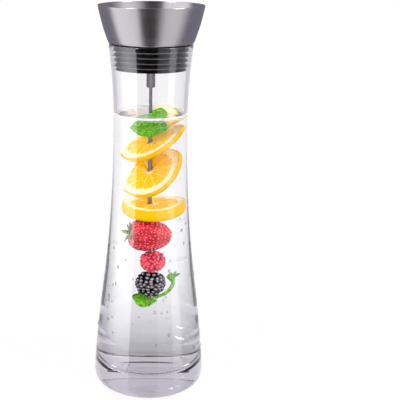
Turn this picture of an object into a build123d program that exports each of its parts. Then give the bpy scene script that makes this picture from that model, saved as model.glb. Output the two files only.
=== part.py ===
from build123d import *
from math import cos, radians, sin
import os

# Fruit infuser pitcher: a glass carafe closed by a pouring lid that carries a fruit skewer.
# Millimetres, +Z up. The origin is the middle of the base, on the table. The flap hinges at the back (+Y).

# Glass carafe. Diameters are of the outside.
GLASS_HEIGHT = 287.0
BASE_DIAMETER = 95.4
FLANK_DIAMETER = 79.4
FLANK_HEIGHT = 85.0
WAIST_DIAMETER = 59.2
WAIST_HEIGHT = 232.0
MOUTH_DIAMETER = 66.0
GLASS_WALL = 2.7
GLASS_FLOOR = 20.0
BASE_ROUND = 8.5
FLOOR_ROUND = 3.5
FLOOR_DISH_DIAMETER = 50.0
FLOOR_DISH_SLOPE = 6.0
FLOOR_DISH_DEPTH = 0.6
PUNT_DIAMETER = 68.0
PUNT_DEPTH = 3.0

# Clearances.
SEAT_GAP = 0.2
SEAL_GAP = 0.3
PRESS_GAP = 0.03
RUNNING_GAP = 0.06
FRUIT_GAP = 0.3

# Silicone seal: a flange on the glass rim and fins that follow the flare of the mouth.
FLANGE_OVERHANG = 1.0
FLANGE_THICKNESS = 4.0
FLANGE_ROUND = 1.4
SLEEVE_DEPTH = 15.9
SLEEVE_WALL = 2.2
FIN_COUNT = 4
FIN_SPACING = 3.95
FIN_REACH = 2.8
FIN_ROOT = 1.9
FIN_TIP = 0.6

# Lid core: plug wall, top plate, pouring throat, spokes and hub.
CORE_WALL = 2.0
CORE_PLATE = 3.0
THROAT_DIAMETER = 34.0
THROAT_WALL = 2.2
THROAT_RISE = 3.7
HUB_DIAMETER = 10.0
HUB_HEIGHT = 5.0
SPOKE_COUNT = 3
SPOKE_WIDTH = 2.6

# Pouring funnel, of sheet steel.
FUNNEL_RIM_DIAMETER = 83.2
FUNNEL_HEIGHT = 28.8
FUNNEL_SHEET = 0.9
FUNNEL_BULGE = 0.7
FUNNEL_SETBACK = 0.6
FUNNEL_CORNER = 1.6

# Retaining ring, flap, gasket and hinge.
RING_DIAMETER = 43.0
RING_THICKNESS = 2.6
NOTCH_COUNT = 8
NOTCH_RADIUS = 1.6
GASKET_THICKNESS = 1.2
FLAP_DIAMETER = 35.4
FLAP_SHEET = 1.2
FLAP_DISH_DIAMETER = 24.0
FLAP_DISH_DEPTH = 0.4
PIN_DIAMETER = 2.0
KNUCKLE_DIAMETER = 4.4
KNUCKLE_LENGTH = 10.0
KNUCKLE_LIFT = 0.4
HINGE_OFFSET = 21.2
EAR_WIDTH = 2.6
EAR_GAP = 0.3

# Strainer disc, skewer socket and nut.
STRAINER_SHEET = 0.8
STRAINER_SETBACK = 0.4
HOLE_DIAMETER = 3.4
INNER_HOLES = 10
INNER_HOLE_CIRCLE = 22.0
OUTER_HOLES = 16
OUTER_HOLE_CIRCLE = 34.0
SOCKET_DIAMETER = 7.0
SOCKET_LENGTH = 14.2
SOCKET_BORE_DEPTH = 10.5
SOCKET_CHAMFER = 0.5
SHANK_DIAMETER = 5.0
NUT_ACROSS_FLATS = 8.0
NUT_HEIGHT = 4.0

# Fruit skewer.
SKEWER_LENGTH = 188.2
ROD_DIAMETER = 2.6
HEAD_DIAMETER = 4.0
HEAD_LENGTH = 9.5
POINT_LENGTH = 6.5

# Fruit, threaded on the skewer from the tip upwards.
LEAF_THICKNESS = 0.8
LOWER_LEAF_RISE = 6.6
LOWER_LEAF_ASIDE = 4.5
LOWER_LEAF_FRONT = 2.0
LOWER_LEAF_LENGTH = 18.0
LOWER_LEAF_WIDTH = 12.5
LOWER_LEAF_CURL = 12.0
SPRIG_STALK_DIAMETER = 1.9
SPRIG_REACH = 5.6
SPRIG_RISE = 14.0
SPRIG_BUD_LENGTH = 10.0
SPRIG_BUD_WIDTH = 6.0
BRAMBLE_RISE = 11.6
BRAMBLE_HEIGHT = 21.4
BRAMBLE_DIAMETER = 19.0
BRAMBLE_ASIDE = 0.8
RASPBERRY_HEIGHT = 18.0
RASPBERRY_DIAMETER = 15.8
RASPBERRY_ASIDE = 2.1
STRAWBERRY_LENGTH = 26.0
STRAWBERRY_DIAMETER = 27.4
STRAWBERRY_DROOP = 8.0
STRAWBERRY_BACK = 12.3
CALYX_DIAMETER = 20.0
CALYX_LEAVES = 6
LOWER_SLICE_DIAMETER = 39.6
LOWER_SLICE_THICKNESS = 9.3
LOWER_SLICE_ASIDE = 2.6
MIDDLE_SLICE_DIAMETER = 46.8
MIDDLE_SLICE_THICKNESS = 4.6
MIDDLE_SLICE_ASIDE = 0.8
MIDDLE_SLICE_TRIM = 12.7
MIDDLE_SLICE_TRIM_BEARING = 155.0
TOP_SLICE_DIAMETER = 45.4
TOP_SLICE_THICKNESS = 4.0
TOP_SLICE_ASIDE = 2.0
TOP_SLICE_TRIM = 17.8
TOP_SLICE_TRIM_BEARING = 148.0
PEEL_CROWN = 0.7
LOWER_SLICE_RISE = 23.5
MIDDLE_SLICE_RISE = 30.3
TOP_SLICE_RISE = 23.9
WEDGE_RISE = 10.7
WEDGE_RADIUS = 24.0
WEDGE_THICKNESS = 5.0
WEDGE_HALF_ANGLE = 36.0
WEDGE_SLOPE = 42.0
WEDGE_BEARING = 40.0
UPPER_LEAF_RISE = 14.1
UPPER_LEAF_FRONT = 3.7
UPPER_LEAF_LENGTH = 26.0
UPPER_LEAF_WIDTH = 17.0
MINT_TIP_RISE = 11.4
MINT_TIP_LENGTH = 20.0
MINT_TIP_WIDTH = 12.0
MINT_TIP_BEARING = -42.0

# Heights of the faces that stack up from the glass rim.
flange_bottom = GLASS_HEIGHT + SEAT_GAP
flange_top = flange_bottom + FLANGE_THICKNESS
core_bottom = flange_bottom - SLEEVE_DEPTH
strainer_bottom = core_bottom - STRAINER_SHEET
socket_bottom = strainer_bottom - SOCKET_LENGTH
hub_top = core_bottom + HUB_HEIGHT
floor_top = flange_top + FUNNEL_SHEET
funnel_top = flange_top + FUNNEL_HEIGHT
ring_top = floor_top + RING_THICKNESS
throat_top = flange_top + THROAT_RISE
gasket_top = throat_top + GASKET_THICKNESS
flap_bottom = gasket_top + SEAT_GAP
hinge_height = ring_top + KNUCKLE_LIFT + KNUCKLE_DIAMETER / 2
tip_height = socket_bottom - SKEWER_LENGTH


def mouth_radius(height):
    """Inside radius of the flared mouth at a height, taken as a parabola over its shallow arc."""
    waist = WAIST_DIAMETER / 2 - GLASS_WALL
    flare = (MOUTH_DIAMETER - WAIST_DIAMETER) / 2
    return waist + flare * ((height - WAIST_HEIGHT) / (GLASS_HEIGHT - WAIST_HEIGHT)) ** 2


sleeve_radius = mouth_radius(core_bottom) - SEAL_GAP - FIN_REACH
core_radius = sleeve_radius - SLEEVE_WALL
flange_radius = MOUTH_DIAMETER / 2 + FLANGE_OVERHANG
throat_radius = THROAT_DIAMETER / 2
rod_hole_radius = ROD_DIAMETER / 2 + PRESS_GAP


def turned(section):
    """Solid of revolution about Z from a section drawn as (radius, height)."""
    return revolve(Plane.XZ * section, Axis.Z)


def box_section(inner, outer, bottom, top):
    """Rectangular section between two radii and two heights."""
    return Pos((inner + outer) / 2, (bottom + top) / 2) * Rectangle(outer - inner, top - bottom)


def nearest_corner(section, radius, height):
    """Corner of a section that lies nearest to a point."""
    target = Vector(radius, height, 0)
    return min(section.vertices(), key=lambda corner: (Vector(corner.X, corner.Y, corner.Z) - target).length)


def tube(inner_radius, outer_radius, bottom, top):
    """Upright tube between two heights."""
    return turned(box_section(inner_radius, outer_radius, bottom, top))


def bar_along_x(radius, length, y, z):
    """Round bar along X, centred at a point of the YZ plane."""
    return Pos(0, y, z) * Rotation(0, 90, 0) * Cylinder(radius, length)


def carafe_region(inset):
    """Region between the axis and the carafe's side, moved inwards by an inset."""
    base = (BASE_DIAMETER / 2 - inset, 0)
    flank = (FLANK_DIAMETER / 2 - inset, FLANK_HEIGHT)
    waist = (WAIST_DIAMETER / 2 - inset, WAIST_HEIGHT)
    mouth = (MOUTH_DIAMETER / 2 - inset, GLASS_HEIGHT)
    taper = TangentArc(waist, flank, tangent=(0, -1))
    foot = TangentArc(flank, base, tangent=taper % 1)
    flare = TangentArc(waist, mouth, tangent=(0, 1))
    ends = Polyline(base, (0, 0), (0, GLASS_HEIGHT), mouth)
    return make_face([taper, foot, flare, ends])


def make_carafe_glass():
    outside = carafe_region(0)
    outside = fillet(nearest_corner(outside, BASE_DIAMETER / 2, 0), BASE_ROUND)
    hollow = carafe_region(GLASS_WALL) - box_section(0, BASE_DIAMETER, -GLASS_FLOOR, GLASS_FLOOR)
    hollow = fillet(nearest_corner(hollow, BASE_DIAMETER / 2, GLASS_FLOOR), FLOOR_ROUND)
    dish_bottom = GLASS_FLOOR - FLOOR_DISH_DEPTH
    dish_radius = FLOOR_DISH_DIAMETER / 2
    hollow += make_face(Polyline(
        (0, dish_bottom), (dish_radius, dish_bottom), (dish_radius + FLOOR_DISH_SLOPE, GLASS_FLOOR),
        (dish_radius, GLASS_FLOOR + FLOOR_DISH_DEPTH), (0, GLASS_FLOOR + FLOOR_DISH_DEPTH), close=True))
    dome = TangentArc((0, PUNT_DEPTH), (PUNT_DIAMETER / 2, 0), tangent=(1, 0))
    punt = make_face([dome, Polyline((PUNT_DIAMETER / 2, 0), (0, 0), (0, PUNT_DEPTH))])
    section = outside - hollow - punt
    lip = GLASS_WALL * 0.46
    section = fillet(nearest_corner(section, MOUTH_DIAMETER / 2, GLASS_HEIGHT), lip)
    section = fillet(nearest_corner(section, MOUTH_DIAMETER / 2 - GLASS_WALL, GLASS_HEIGHT), lip)
    return turned(section)


def make_silicone_seal():
    bore = core_radius + PRESS_GAP
    section = box_section(bore, sleeve_radius, core_bottom, flange_top)
    section += box_section(bore, flange_radius, flange_bottom, flange_top)
    for index in range(FIN_COUNT):
        height = core_bottom + FIN_ROOT / 2 + index * FIN_SPACING
        reach = mouth_radius(height - FIN_ROOT / 2) - SEAL_GAP
        root = sleeve_radius - SLEEVE_WALL / 2
        section += make_face(Polyline(
            (root, height - FIN_ROOT / 2), (reach, height - FIN_TIP / 2),
            (reach, height + FIN_TIP / 2), (root, height + FIN_ROOT / 2), close=True))
    section = fillet(nearest_corner(section, flange_radius, flange_bottom), FLANGE_ROUND)
    section = fillet(nearest_corner(section, flange_radius, flange_top), FLANGE_ROUND)
    return turned(section)


def make_lid_core():
    throat_bore = throat_radius - THROAT_WALL
    section = box_section(core_radius - CORE_WALL, core_radius, core_bottom, flange_top)
    section += box_section(throat_bore, core_radius, flange_top - CORE_PLATE, flange_top)
    section += box_section(throat_bore, throat_radius, flange_top - CORE_PLATE, throat_top)
    core = turned(section)
    middle = core_bottom + HUB_HEIGHT / 2
    reach = core_radius - CORE_WALL / 2
    for index in range(SPOKE_COUNT):
        spoke = Pos(reach / 2, 0, middle) * Box(reach, SPOKE_WIDTH, HUB_HEIGHT)
        core += Rotation(0, 0, 90 + index * 360 / SPOKE_COUNT) * spoke
    core += Pos(0, 0, middle) * Cylinder(HUB_DIAMETER / 2, HUB_HEIGHT)
    return core - Pos(0, 0, middle) * Cylinder(SHANK_DIAMETER / 2 + PRESS_GAP, 2 * HUB_HEIGHT)


def funnel_region(inset):
    """Region between the axis and the funnel's wall, moved inwards by an inset."""
    foot = (flange_radius - FUNNEL_SETBACK - inset, flange_top + inset)
    rim = (FUNNEL_RIM_DIAMETER / 2 - inset, funnel_top)
    wall = SagittaArc(rim, foot, FUNNEL_BULGE)
    region = make_face([wall, Polyline(foot, (0, foot[1]), (0, funnel_top), rim)])
    return fillet(nearest_corner(region, *foot), FUNNEL_CORNER - inset)


def make_pouring_funnel():
    hole = box_section(0, throat_radius + PRESS_GAP, flange_top - FUNNEL_SHEET, floor_top + FUNNEL_SHEET)
    return turned(funnel_region(0) - funnel_region(FUNNEL_SHEET) - hole)


def make_retaining_ring():
    ring = tube(throat_radius + PRESS_GAP, RING_DIAMETER / 2, floor_top, ring_top)
    notch = Pos(RING_DIAMETER / 2 + NOTCH_RADIUS / 3, 0, floor_top) * Cylinder(NOTCH_RADIUS, 3 * RING_THICKNESS)
    for index in range(NOTCH_COUNT):
        ring -= Rotation(0, 0, (index + 0.5) * 360 / NOTCH_COUNT) * notch
    ear_radius = KNUCKLE_DIAMETER / 2
    ear_height = hinge_height - floor_top
    ear = Pos(0, HINGE_OFFSET, floor_top + ear_height / 2) * Box(EAR_WIDTH, KNUCKLE_DIAMETER, ear_height)
    ear += bar_along_x(ear_radius, EAR_WIDTH, HINGE_OFFSET, hinge_height)
    ear -= bar_along_x(PIN_DIAMETER / 2 + PRESS_GAP, 2 * EAR_WIDTH, HINGE_OFFSET, hinge_height)
    offset = KNUCKLE_LENGTH / 2 + EAR_GAP + EAR_WIDTH / 2
    return ring + Pos(offset, 0, 0) * ear + Pos(-offset, 0, 0) * ear


def make_flap_gasket():
    return tube(throat_radius - THROAT_WALL, throat_radius, throat_top, gasket_top)


def make_flap_hinge_pin():
    length = KNUCKLE_LENGTH + 2 * EAR_GAP + 2 * EAR_WIDTH
    return bar_along_x(PIN_DIAMETER / 2, length, HINGE_OFFSET, hinge_height)


def make_pour_flap():
    middle = flap_bottom + FLAP_SHEET / 2
    flap = Pos(0, 0, middle) * Cylinder(FLAP_DIAMETER / 2, FLAP_SHEET)
    flap += Pos(0, HINGE_OFFSET / 2, middle) * Box(KNUCKLE_LENGTH, HINGE_OFFSET, FLAP_SHEET)
    flap += bar_along_x(KNUCKLE_DIAMETER / 2, KNUCKLE_LENGTH, HINGE_OFFSET, hinge_height)
    flap -= Pos(0, 0, flap_bottom + FLAP_SHEET) * Cylinder(FLAP_DISH_DIAMETER / 2, 2 * FLAP_DISH_DEPTH)
    bore = PIN_DIAMETER / 2 + RUNNING_GAP
    return flap - bar_along_x(bore, 2 * KNUCKLE_LENGTH, HINGE_OFFSET, hinge_height)


def make_strainer_disc():
    middle = strainer_bottom + STRAINER_SHEET / 2
    disc = Pos(0, 0, middle) * Cylinder(core_radius - STRAINER_SETBACK, STRAINER_SHEET)
    disc -= Pos(0, 0, middle) * Cylinder(SHANK_DIAMETER / 2 + PRESS_GAP, 2 * STRAINER_SHEET)
    hole = Pos(0, 0, middle) * Cylinder(HOLE_DIAMETER / 2, 2 * STRAINER_SHEET)
    for count, circle in ((INNER_HOLES, INNER_HOLE_CIRCLE), (OUTER_HOLES, OUTER_HOLE_CIRCLE)):
        for place in PolarLocations(circle / 2, count):
            disc -= place * hole
    return disc


def make_skewer_socket():
    radius = SOCKET_DIAMETER / 2
    section = box_section(0, radius, socket_bottom, strainer_bottom)
    section = chamfer(nearest_corner(section, radius, socket_bottom), SOCKET_CHAMFER)
    section += box_section(0, SHANK_DIAMETER / 2, strainer_bottom, hub_top + NUT_HEIGHT)
    bore = HEAD_DIAMETER / 2 + RUNNING_GAP
    section -= box_section(0, bore, socket_bottom - SOCKET_CHAMFER, socket_bottom + SOCKET_BORE_DEPTH)
    return turned(section)


def make_socket_nut():
    nut = extrude(Pos(0, 0, hub_top) * RegularPolygon(NUT_ACROSS_FLATS / 2, 6, major_radius=False), NUT_HEIGHT)
    return nut - Pos(0, 0, hub_top) * Cylinder(SHANK_DIAMETER / 2 + PRESS_GAP, 3 * NUT_HEIGHT)


def make_fruit_skewer():
    rod = ROD_DIAMETER / 2
    head = HEAD_DIAMETER / 2
    section = make_face(Polyline(
        (0, tip_height), (rod, tip_height + POINT_LENGTH), (rod, socket_bottom),
        (head, socket_bottom), (head, socket_bottom + HEAD_LENGTH), (0, socket_bottom + HEAD_LENGTH),
        close=True))
    return turned(section)


def threaded(fruit):
    """Fruit with the hole that the skewer's rod goes through."""
    return fruit - Cylinder(rod_hole_radius, 3 * funnel_top)


def berry(diameter, height, bottom, aside):
    """Upright berry a little aside of the rod: a barrel with well rounded ends."""
    end = 0.34 * diameter
    top = bottom + height
    wall = ThreePointArc((end, bottom), (diameter / 2, bottom + height / 2), (end, top))
    section = make_face([wall, Polyline((end, top), (0, top), (0, bottom), (end, bottom))])
    for corner_height in (bottom, top):
        section = fillet(nearest_corner(section, end, corner_height), 0.7 * end)
    return threaded(Pos(aside, 0, 0) * turned(section))


def citrus_disc(diameter, thickness):
    """Round slice with a crowned peel, lying flat at the origin."""
    edge = diameter / 2 - PEEL_CROWN
    peel = ThreePointArc((edge, -thickness / 2), (diameter / 2, 0), (edge, thickness / 2))
    section = make_face([peel, Polyline((edge, thickness / 2), (0, thickness / 2), (0, -thickness / 2),
                                        (edge, -thickness / 2))])
    return turned(section)


def trimmed(disc, distance, bearing):
    """Disc with a straight cut at a distance from its middle, on the side of a bearing."""
    room = 4 * distance
    return disc & Rotation(0, 0, bearing) * Pos(distance - room / 2, 0, 0) * Box(room, room, room)


def skewered(disc, height, aside, back_up, right_up):
    """Slice tilted about the skewer at a height and moved aside in its own plane."""
    return threaded(Pos(0, 0, height) * Rotation(back_up, -right_up, 0) * Pos(aside, 0, 0) * disc)


def make_middle_orange_slice():
    disc = citrus_disc(MIDDLE_SLICE_DIAMETER, MIDDLE_SLICE_THICKNESS)
    disc = trimmed(disc, MIDDLE_SLICE_TRIM, MIDDLE_SLICE_TRIM_BEARING)
    return skewered(disc, middle_slice_height, MIDDLE_SLICE_ASIDE, 40, 30)


def make_top_orange_slice():
    disc = citrus_disc(TOP_SLICE_DIAMETER, TOP_SLICE_THICKNESS)
    disc = trimmed(disc, TOP_SLICE_TRIM, TOP_SLICE_TRIM_BEARING)
    return skewered(disc, top_slice_height, TOP_SLICE_ASIDE, 15, 29.5)


def make_orange_wedge():
    half_width = WEDGE_RADIUS * sin(radians(WEDGE_HALF_ANGLE))
    depth = WEDGE_RADIUS * cos(radians(WEDGE_HALF_ANGLE))
    peel = ThreePointArc((-half_width, depth), (0, WEDGE_RADIUS), (half_width, depth))
    face = make_face([peel, Polyline((half_width, depth), (0, 0), (-half_width, depth))])
    slab = extrude(face, WEDGE_THICKNESS / 2, both=True)
    lean = Rotation(0, 0, WEDGE_BEARING - 90) * Rotation(WEDGE_SLOPE, 0, 0)
    reach = rod_hole_radius + FRUIT_GAP + WEDGE_THICKNESS / 2 * sin(radians(WEDGE_SLOPE))
    away = Rotation(0, 0, WEDGE_BEARING) * Pos(reach, 0, top_slice_height + WEDGE_RISE)
    return Pos(*away.position) * lean * slab


def leaf(length, width, curl, bent_plane=Plane.YZ):
    """Pointed leaf along X with its middle at the origin, bent upwards to a radius in one plane."""
    tips = ((-length / 2, 0), (length / 2, 0))
    outline = make_face([SagittaArc(*tips, width / 2), SagittaArc(*tips, -width / 2)])
    ring = Circle(curl) - Circle(curl - LEAF_THICKNESS)
    sheet = extrude(bent_plane * Pos(0, curl) * ring, length, both=True)
    return sheet & extrude(outline, curl * 0.9, both=True)


bramble_bottom = tip_height + BRAMBLE_RISE
raspberry_bottom = bramble_bottom + BRAMBLE_HEIGHT + FRUIT_GAP
strawberry_height = raspberry_bottom + RASPBERRY_HEIGHT + FRUIT_GAP + STRAWBERRY_DIAMETER / 2
lower_slice_height = strawberry_height + LOWER_SLICE_RISE
middle_slice_height = lower_slice_height + MIDDLE_SLICE_RISE
top_slice_height = middle_slice_height + TOP_SLICE_RISE
upper_leaf_height = top_slice_height + UPPER_LEAF_RISE


def strawberry_place():
    """Frame of the strawberry: its own axis is Z, from the calyx to the tip."""
    return Pos(0, 0, strawberry_height) * Rotation(0, 90 + STRAWBERRY_DROOP, 0) * Pos(0, 0, -STRAWBERRY_BACK)


def make_strawberry():
    back = 0.4 * STRAWBERRY_DIAMETER
    tip = 0.14 * STRAWBERRY_DIAMETER
    flank = (STRAWBERRY_DIAMETER / 2, 0.38 * STRAWBERRY_LENGTH)
    wall = ThreePointArc((back, 0), flank, (tip, STRAWBERRY_LENGTH))
    section = make_face([wall, Polyline((tip, STRAWBERRY_LENGTH), (0, STRAWBERRY_LENGTH), (0, 0), (back, 0))])
    section = fillet(nearest_corner(section, back, 0), 0.6 * back)
    section = fillet(nearest_corner(section, tip, STRAWBERRY_LENGTH), 0.8 * tip)
    return threaded(strawberry_place() * turned(section))


def make_strawberry_calyx():
    blade = leaf(CALYX_DIAMETER / 2, CALYX_DIAMETER / 5, CALYX_DIAMETER)
    star = Cylinder(CALYX_DIAMETER / 8, LEAF_THICKNESS)
    for index in range(CALYX_LEAVES):
        star += Rotation(0, 0, index * 360 / CALYX_LEAVES) * Pos(CALYX_DIAMETER / 4, 0, 0) * blade
    return strawberry_place() * Pos(0, 0, -LEAF_THICKNESS - FRUIT_GAP / 2) * star


def make_upper_mint_leaf():
    blade = leaf(UPPER_LEAF_LENGTH, UPPER_LEAF_WIDTH, UPPER_LEAF_WIDTH)
    return threaded(Pos(0, -UPPER_LEAF_FRONT, upper_leaf_height) * Rotation(58, -6, 0) * blade)


def make_upper_mint_tip():
    blade = leaf(MINT_TIP_LENGTH, MINT_TIP_WIDTH, MINT_TIP_WIDTH)
    outwards = Rotation(0, 0, MINT_TIP_BEARING) * Pos(MINT_TIP_LENGTH / 3, 0, 0)
    return threaded(Pos(0, 0, upper_leaf_height + MINT_TIP_RISE) * outwards * Rotation(38, -10, 0) * blade)


def make_lower_mint_leaf():
    blade = leaf(LOWER_LEAF_LENGTH, LOWER_LEAF_WIDTH, LOWER_LEAF_CURL, Plane.XZ)
    height = tip_height + LOWER_LEAF_RISE
    return threaded(Pos(-LOWER_LEAF_ASIDE, -LOWER_LEAF_FRONT, height) * Rotation(36, 20, 0) * blade)


def make_lower_mint_sprig():
    start = (rod_hole_radius + SPRIG_STALK_DIAMETER / 2, bramble_bottom - SPRIG_STALK_DIAMETER)
    end = (BRAMBLE_DIAMETER / 2 + SPRIG_REACH, bramble_bottom + SPRIG_RISE)
    path = Plane.XZ * TangentArc(start, end, tangent=(1, 0.1))
    stalk = sweep(Plane(origin=path @ 0, z_dir=path % 0) * Circle(SPRIG_STALK_DIAMETER / 2), path)
    bud = Pos(path @ 1) * Rotation(0, -70, 0) * leaf(SPRIG_BUD_LENGTH, SPRIG_BUD_WIDTH, SPRIG_BUD_WIDTH)
    return threaded(stalk + bud)


nodes = {
    "carafe_glass": make_carafe_glass(),
    "silicone_seal": make_silicone_seal(),
    "lid_core": make_lid_core(),
    "pouring_funnel": make_pouring_funnel(),
    "retaining_ring": make_retaining_ring(),
    "flap_gasket": make_flap_gasket(),
    "flap_hinge_pin": make_flap_hinge_pin(),
    "pour_flap": make_pour_flap(),
    "strainer_disc": make_strainer_disc(),
    "skewer_socket": make_skewer_socket(),
    "socket_nut": make_socket_nut(),
    "fruit_skewer": make_fruit_skewer(),
    "lower_mint_leaf": make_lower_mint_leaf(),
    "lower_mint_sprig": make_lower_mint_sprig(),
    "bramble_berry": berry(BRAMBLE_DIAMETER, BRAMBLE_HEIGHT, bramble_bottom, BRAMBLE_ASIDE),
    "raspberry": berry(RASPBERRY_DIAMETER, RASPBERRY_HEIGHT, raspberry_bottom, RASPBERRY_ASIDE),
    "strawberry": make_strawberry(),
    "strawberry_calyx": make_strawberry_calyx(),
    "lower_orange_slice": skewered(
        citrus_disc(LOWER_SLICE_DIAMETER, LOWER_SLICE_THICKNESS), lower_slice_height, LOWER_SLICE_ASIDE, 5, 0.4),
    "middle_orange_slice": make_middle_orange_slice(),
    "top_orange_slice": make_top_orange_slice(),
    "orange_wedge": make_orange_wedge(),
    "upper_mint_leaf": make_upper_mint_leaf(),
    "upper_mint_tip": make_upper_mint_tip(),
}

os.makedirs("parts", exist_ok=True)
for name, shape in nodes.items():
    export_step(shape, f"parts/{name}.step")
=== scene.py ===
from math import atan2, ceil, cos, exp, hypot, pi, radians, sin, sqrt
from random import Random
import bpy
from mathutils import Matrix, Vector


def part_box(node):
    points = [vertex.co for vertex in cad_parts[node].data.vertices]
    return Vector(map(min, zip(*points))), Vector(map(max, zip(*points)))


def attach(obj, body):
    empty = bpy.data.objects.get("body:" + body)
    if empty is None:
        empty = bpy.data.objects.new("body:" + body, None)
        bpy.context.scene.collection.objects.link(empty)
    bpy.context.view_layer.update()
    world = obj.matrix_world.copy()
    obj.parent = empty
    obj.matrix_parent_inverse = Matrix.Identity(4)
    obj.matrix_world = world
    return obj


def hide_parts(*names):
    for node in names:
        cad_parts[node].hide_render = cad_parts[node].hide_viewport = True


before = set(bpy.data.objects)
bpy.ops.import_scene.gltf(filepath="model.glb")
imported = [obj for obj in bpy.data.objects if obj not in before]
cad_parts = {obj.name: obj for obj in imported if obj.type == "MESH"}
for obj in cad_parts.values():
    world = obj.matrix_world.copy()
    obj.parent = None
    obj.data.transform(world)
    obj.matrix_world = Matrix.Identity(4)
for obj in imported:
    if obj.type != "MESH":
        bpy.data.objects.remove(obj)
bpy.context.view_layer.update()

from types import SimpleNamespace

import bmesh
import bpy
from bpy.props import FloatProperty, FloatVectorProperty, IntProperty, PointerProperty
from mathutils import Matrix, Vector, kdtree

bl_info = {
    "name": "Fruit Infuser Pitcher",
    "version": (1, 0, 0),
    "blender": (4, 5, 0),
    "location": "3D View > Sidebar > Infuser",
    "description": "Dresses the packed pitcher with glass, water, steel, fruit and a white studio",
    "category": "Object",
}

GLASS_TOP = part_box("carafe_glass")[1].z
FUNNEL_LOW, FUNNEL_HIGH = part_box("pouring_funnel")
SEAL_LOW, SEAL_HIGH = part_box("silicone_seal")
MM = 0.001
TINY = 1e-6
ROUND_STEPS = 128
LIP_GAP = 0.2 * MM
GLASS_INDEX = 1.47
WATER_INDEX = 1.333
FLESH_SHARE = 0.74


def length(name, default, description):
    """A length property in metres."""
    return FloatProperty(name=name, description=description, default=default, unit="LENGTH", precision=5)


def angle(name, degrees, description):
    """An angle property, stored in radians."""
    return FloatProperty(name=name, description=description, default=radians(degrees), subtype="ANGLE")


def colour(name, default, description):
    """A colour property."""
    return FloatVectorProperty(
        name=name, description=description, default=default, subtype="COLOR", size=3, min=0, max=1)


def number(name, default, description):
    """A plain number property."""
    return FloatProperty(name=name, description=description, default=default)


class CarafeSettings(bpy.types.PropertyGroup):
    """Sizes of the glass carafe and of the water in it."""

    base_radius: length("Base radius", 47.7 * MM, "Outside radius where the side would meet the table")
    flank_radius: length("Flank radius", 39.7 * MM, "Outside radius where the foot turns into the taper")
    flank_height: length("Flank height", 85 * MM, "Height of the flank above the table")
    waist_radius: length("Waist radius", 29.6 * MM, "Outside radius at the narrowest place")
    waist_height: length("Waist height", 232 * MM, "Height of the narrowest place")
    mouth_radius: length("Mouth radius", 33 * MM, "Outside radius of the mouth")
    height: length("Height", GLASS_TOP, "Height at which the mouth's radius is measured")
    lip_height: length("Lip height", FUNNEL_LOW.z - LIP_GAP, "Height of the rim under the funnel's foot")
    wall: length("Wall", 2.7 * MM, "Thickness of the wall")
    floor: length("Floor", 20 * MM, "Height of the inside floor")
    base_round: length("Base round", 8.5 * MM, "Rounding of the base's outer corner")
    floor_round: length("Floor round", 9 * MM, "Rounding of the inside corner")
    dish_radius: length("Dish radius", 25 * MM, "Radius of the lower middle of the inside floor")
    dish_slope: length("Dish slope", 6 * MM, "Width of the slope round the lower middle")
    dish_depth: length("Dish depth", 0.05 * MM, "How far the middle of the inside floor is lowered")
    punt_radius: length("Punt radius", 26 * MM, "Radius of the hollow under the base")
    punt_depth: length("Punt depth", 4.5 * MM, "Depth of the hollow under the base")
    water_level: length("Water level", 235 * MM, "Height of the water's surface")
    meniscus: length("Meniscus", 1.5 * MM, "How far the water climbs the glass")
    soak: length("Soak", 0.5 * MM, "How far the water's skin lies inside the glass wall")
    droplets: IntProperty(name="Droplets", description="Droplets on the lower glass", default=150, min=0)
    droplet_bottom: length("Droplet bottom", 26 * MM, "Height above which the droplets lie")
    droplet_span: length("Droplet span", 130 * MM, "How far up the glass the droplets lie")
    droplet_size: length("Droplet size", 0.55 * MM, "Radius of the smallest droplet")
    droplet_growth: length("Droplet growth", 0.9 * MM, "How much larger the largest droplet's radius is")
    glass_tint: colour("Glass tint", (0.994, 0.990, 0.998), "What each pass through the wall lets through")


class LidSettings(bpy.types.PropertyGroup):
    """Sizes and finishes of the pouring lid and the skewer."""

    foot_radius: length("Foot radius", 33.4 * MM, "Radius where the funnel's wall meets its floor")
    rim_radius: length("Rim radius", FUNNEL_HIGH.x, "Radius of the funnel's rim")
    sheet: length("Sheet", 0.9 * MM, "Thickness of the funnel's sheet steel")
    bulge: length("Bulge", 0.7 * MM, "How far the wall bows outwards")
    corner: length("Corner", 1.6 * MM, "Rounding between the floor and the wall")
    throat_radius: length("Throat radius", 17.03 * MM, "Radius of the hole in the funnel's floor")
    seal_bore: length("Seal bore", 23.36 * MM, "Inside radius of the silicone seal")
    sleeve_radius: length("Sleeve radius", 25.5 * MM, "Radius of the seal between its fins")
    flange_thickness: length("Flange thickness", 2.4 * MM, "Height of the seal's flange in the glass rim")
    flange_round: length("Flange round", 0.8 * MM, "Rounding of the flange's edge")
    flange_gap: length("Flange gap", 0.4 * MM, "Room between the flange and the glass")
    fins: IntProperty(name="Fins", description="Fins of the silicone seal", default=4, min=1)
    fin_start: length("Fin start", 3.25 * MM, "From the seal's lower end to the middle of its lowest fin")
    fin_spacing: length("Fin spacing", 3.95 * MM, "Distance from fin to fin")
    fin_root: length("Fin root", 1.9 * MM, "Thickness of a fin at the sleeve")
    fin_tip: length("Fin tip", 0.6 * MM, "Thickness of a fin at the glass")
    fin_press: length("Fin press", 0.1 * MM, "How far the fins are pressed into the glass")
    steel: colour("Steel", (0.60, 0.585, 0.60), "Brushed steel")
    rod_steel: colour("Rod steel", (0.34, 0.325, 0.34), "Polished steel of the rod and its socket")
    rubber: colour("Rubber", (0.0010, 0.0010, 0.0012), "Silicone of the seal and the gasket")
    # Painted highlight: this lighter grey on the fin tips stands for the bright line where each fin meets
    # the glass.
    fin_tip_highlight: colour("Fin tip highlight", (0.10, 0.10, 0.105), "Edge of a fin at the glass")
    plastic: colour("Plastic", (0.018, 0.018, 0.020), "Moulded plastic of the core and the ring")


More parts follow.
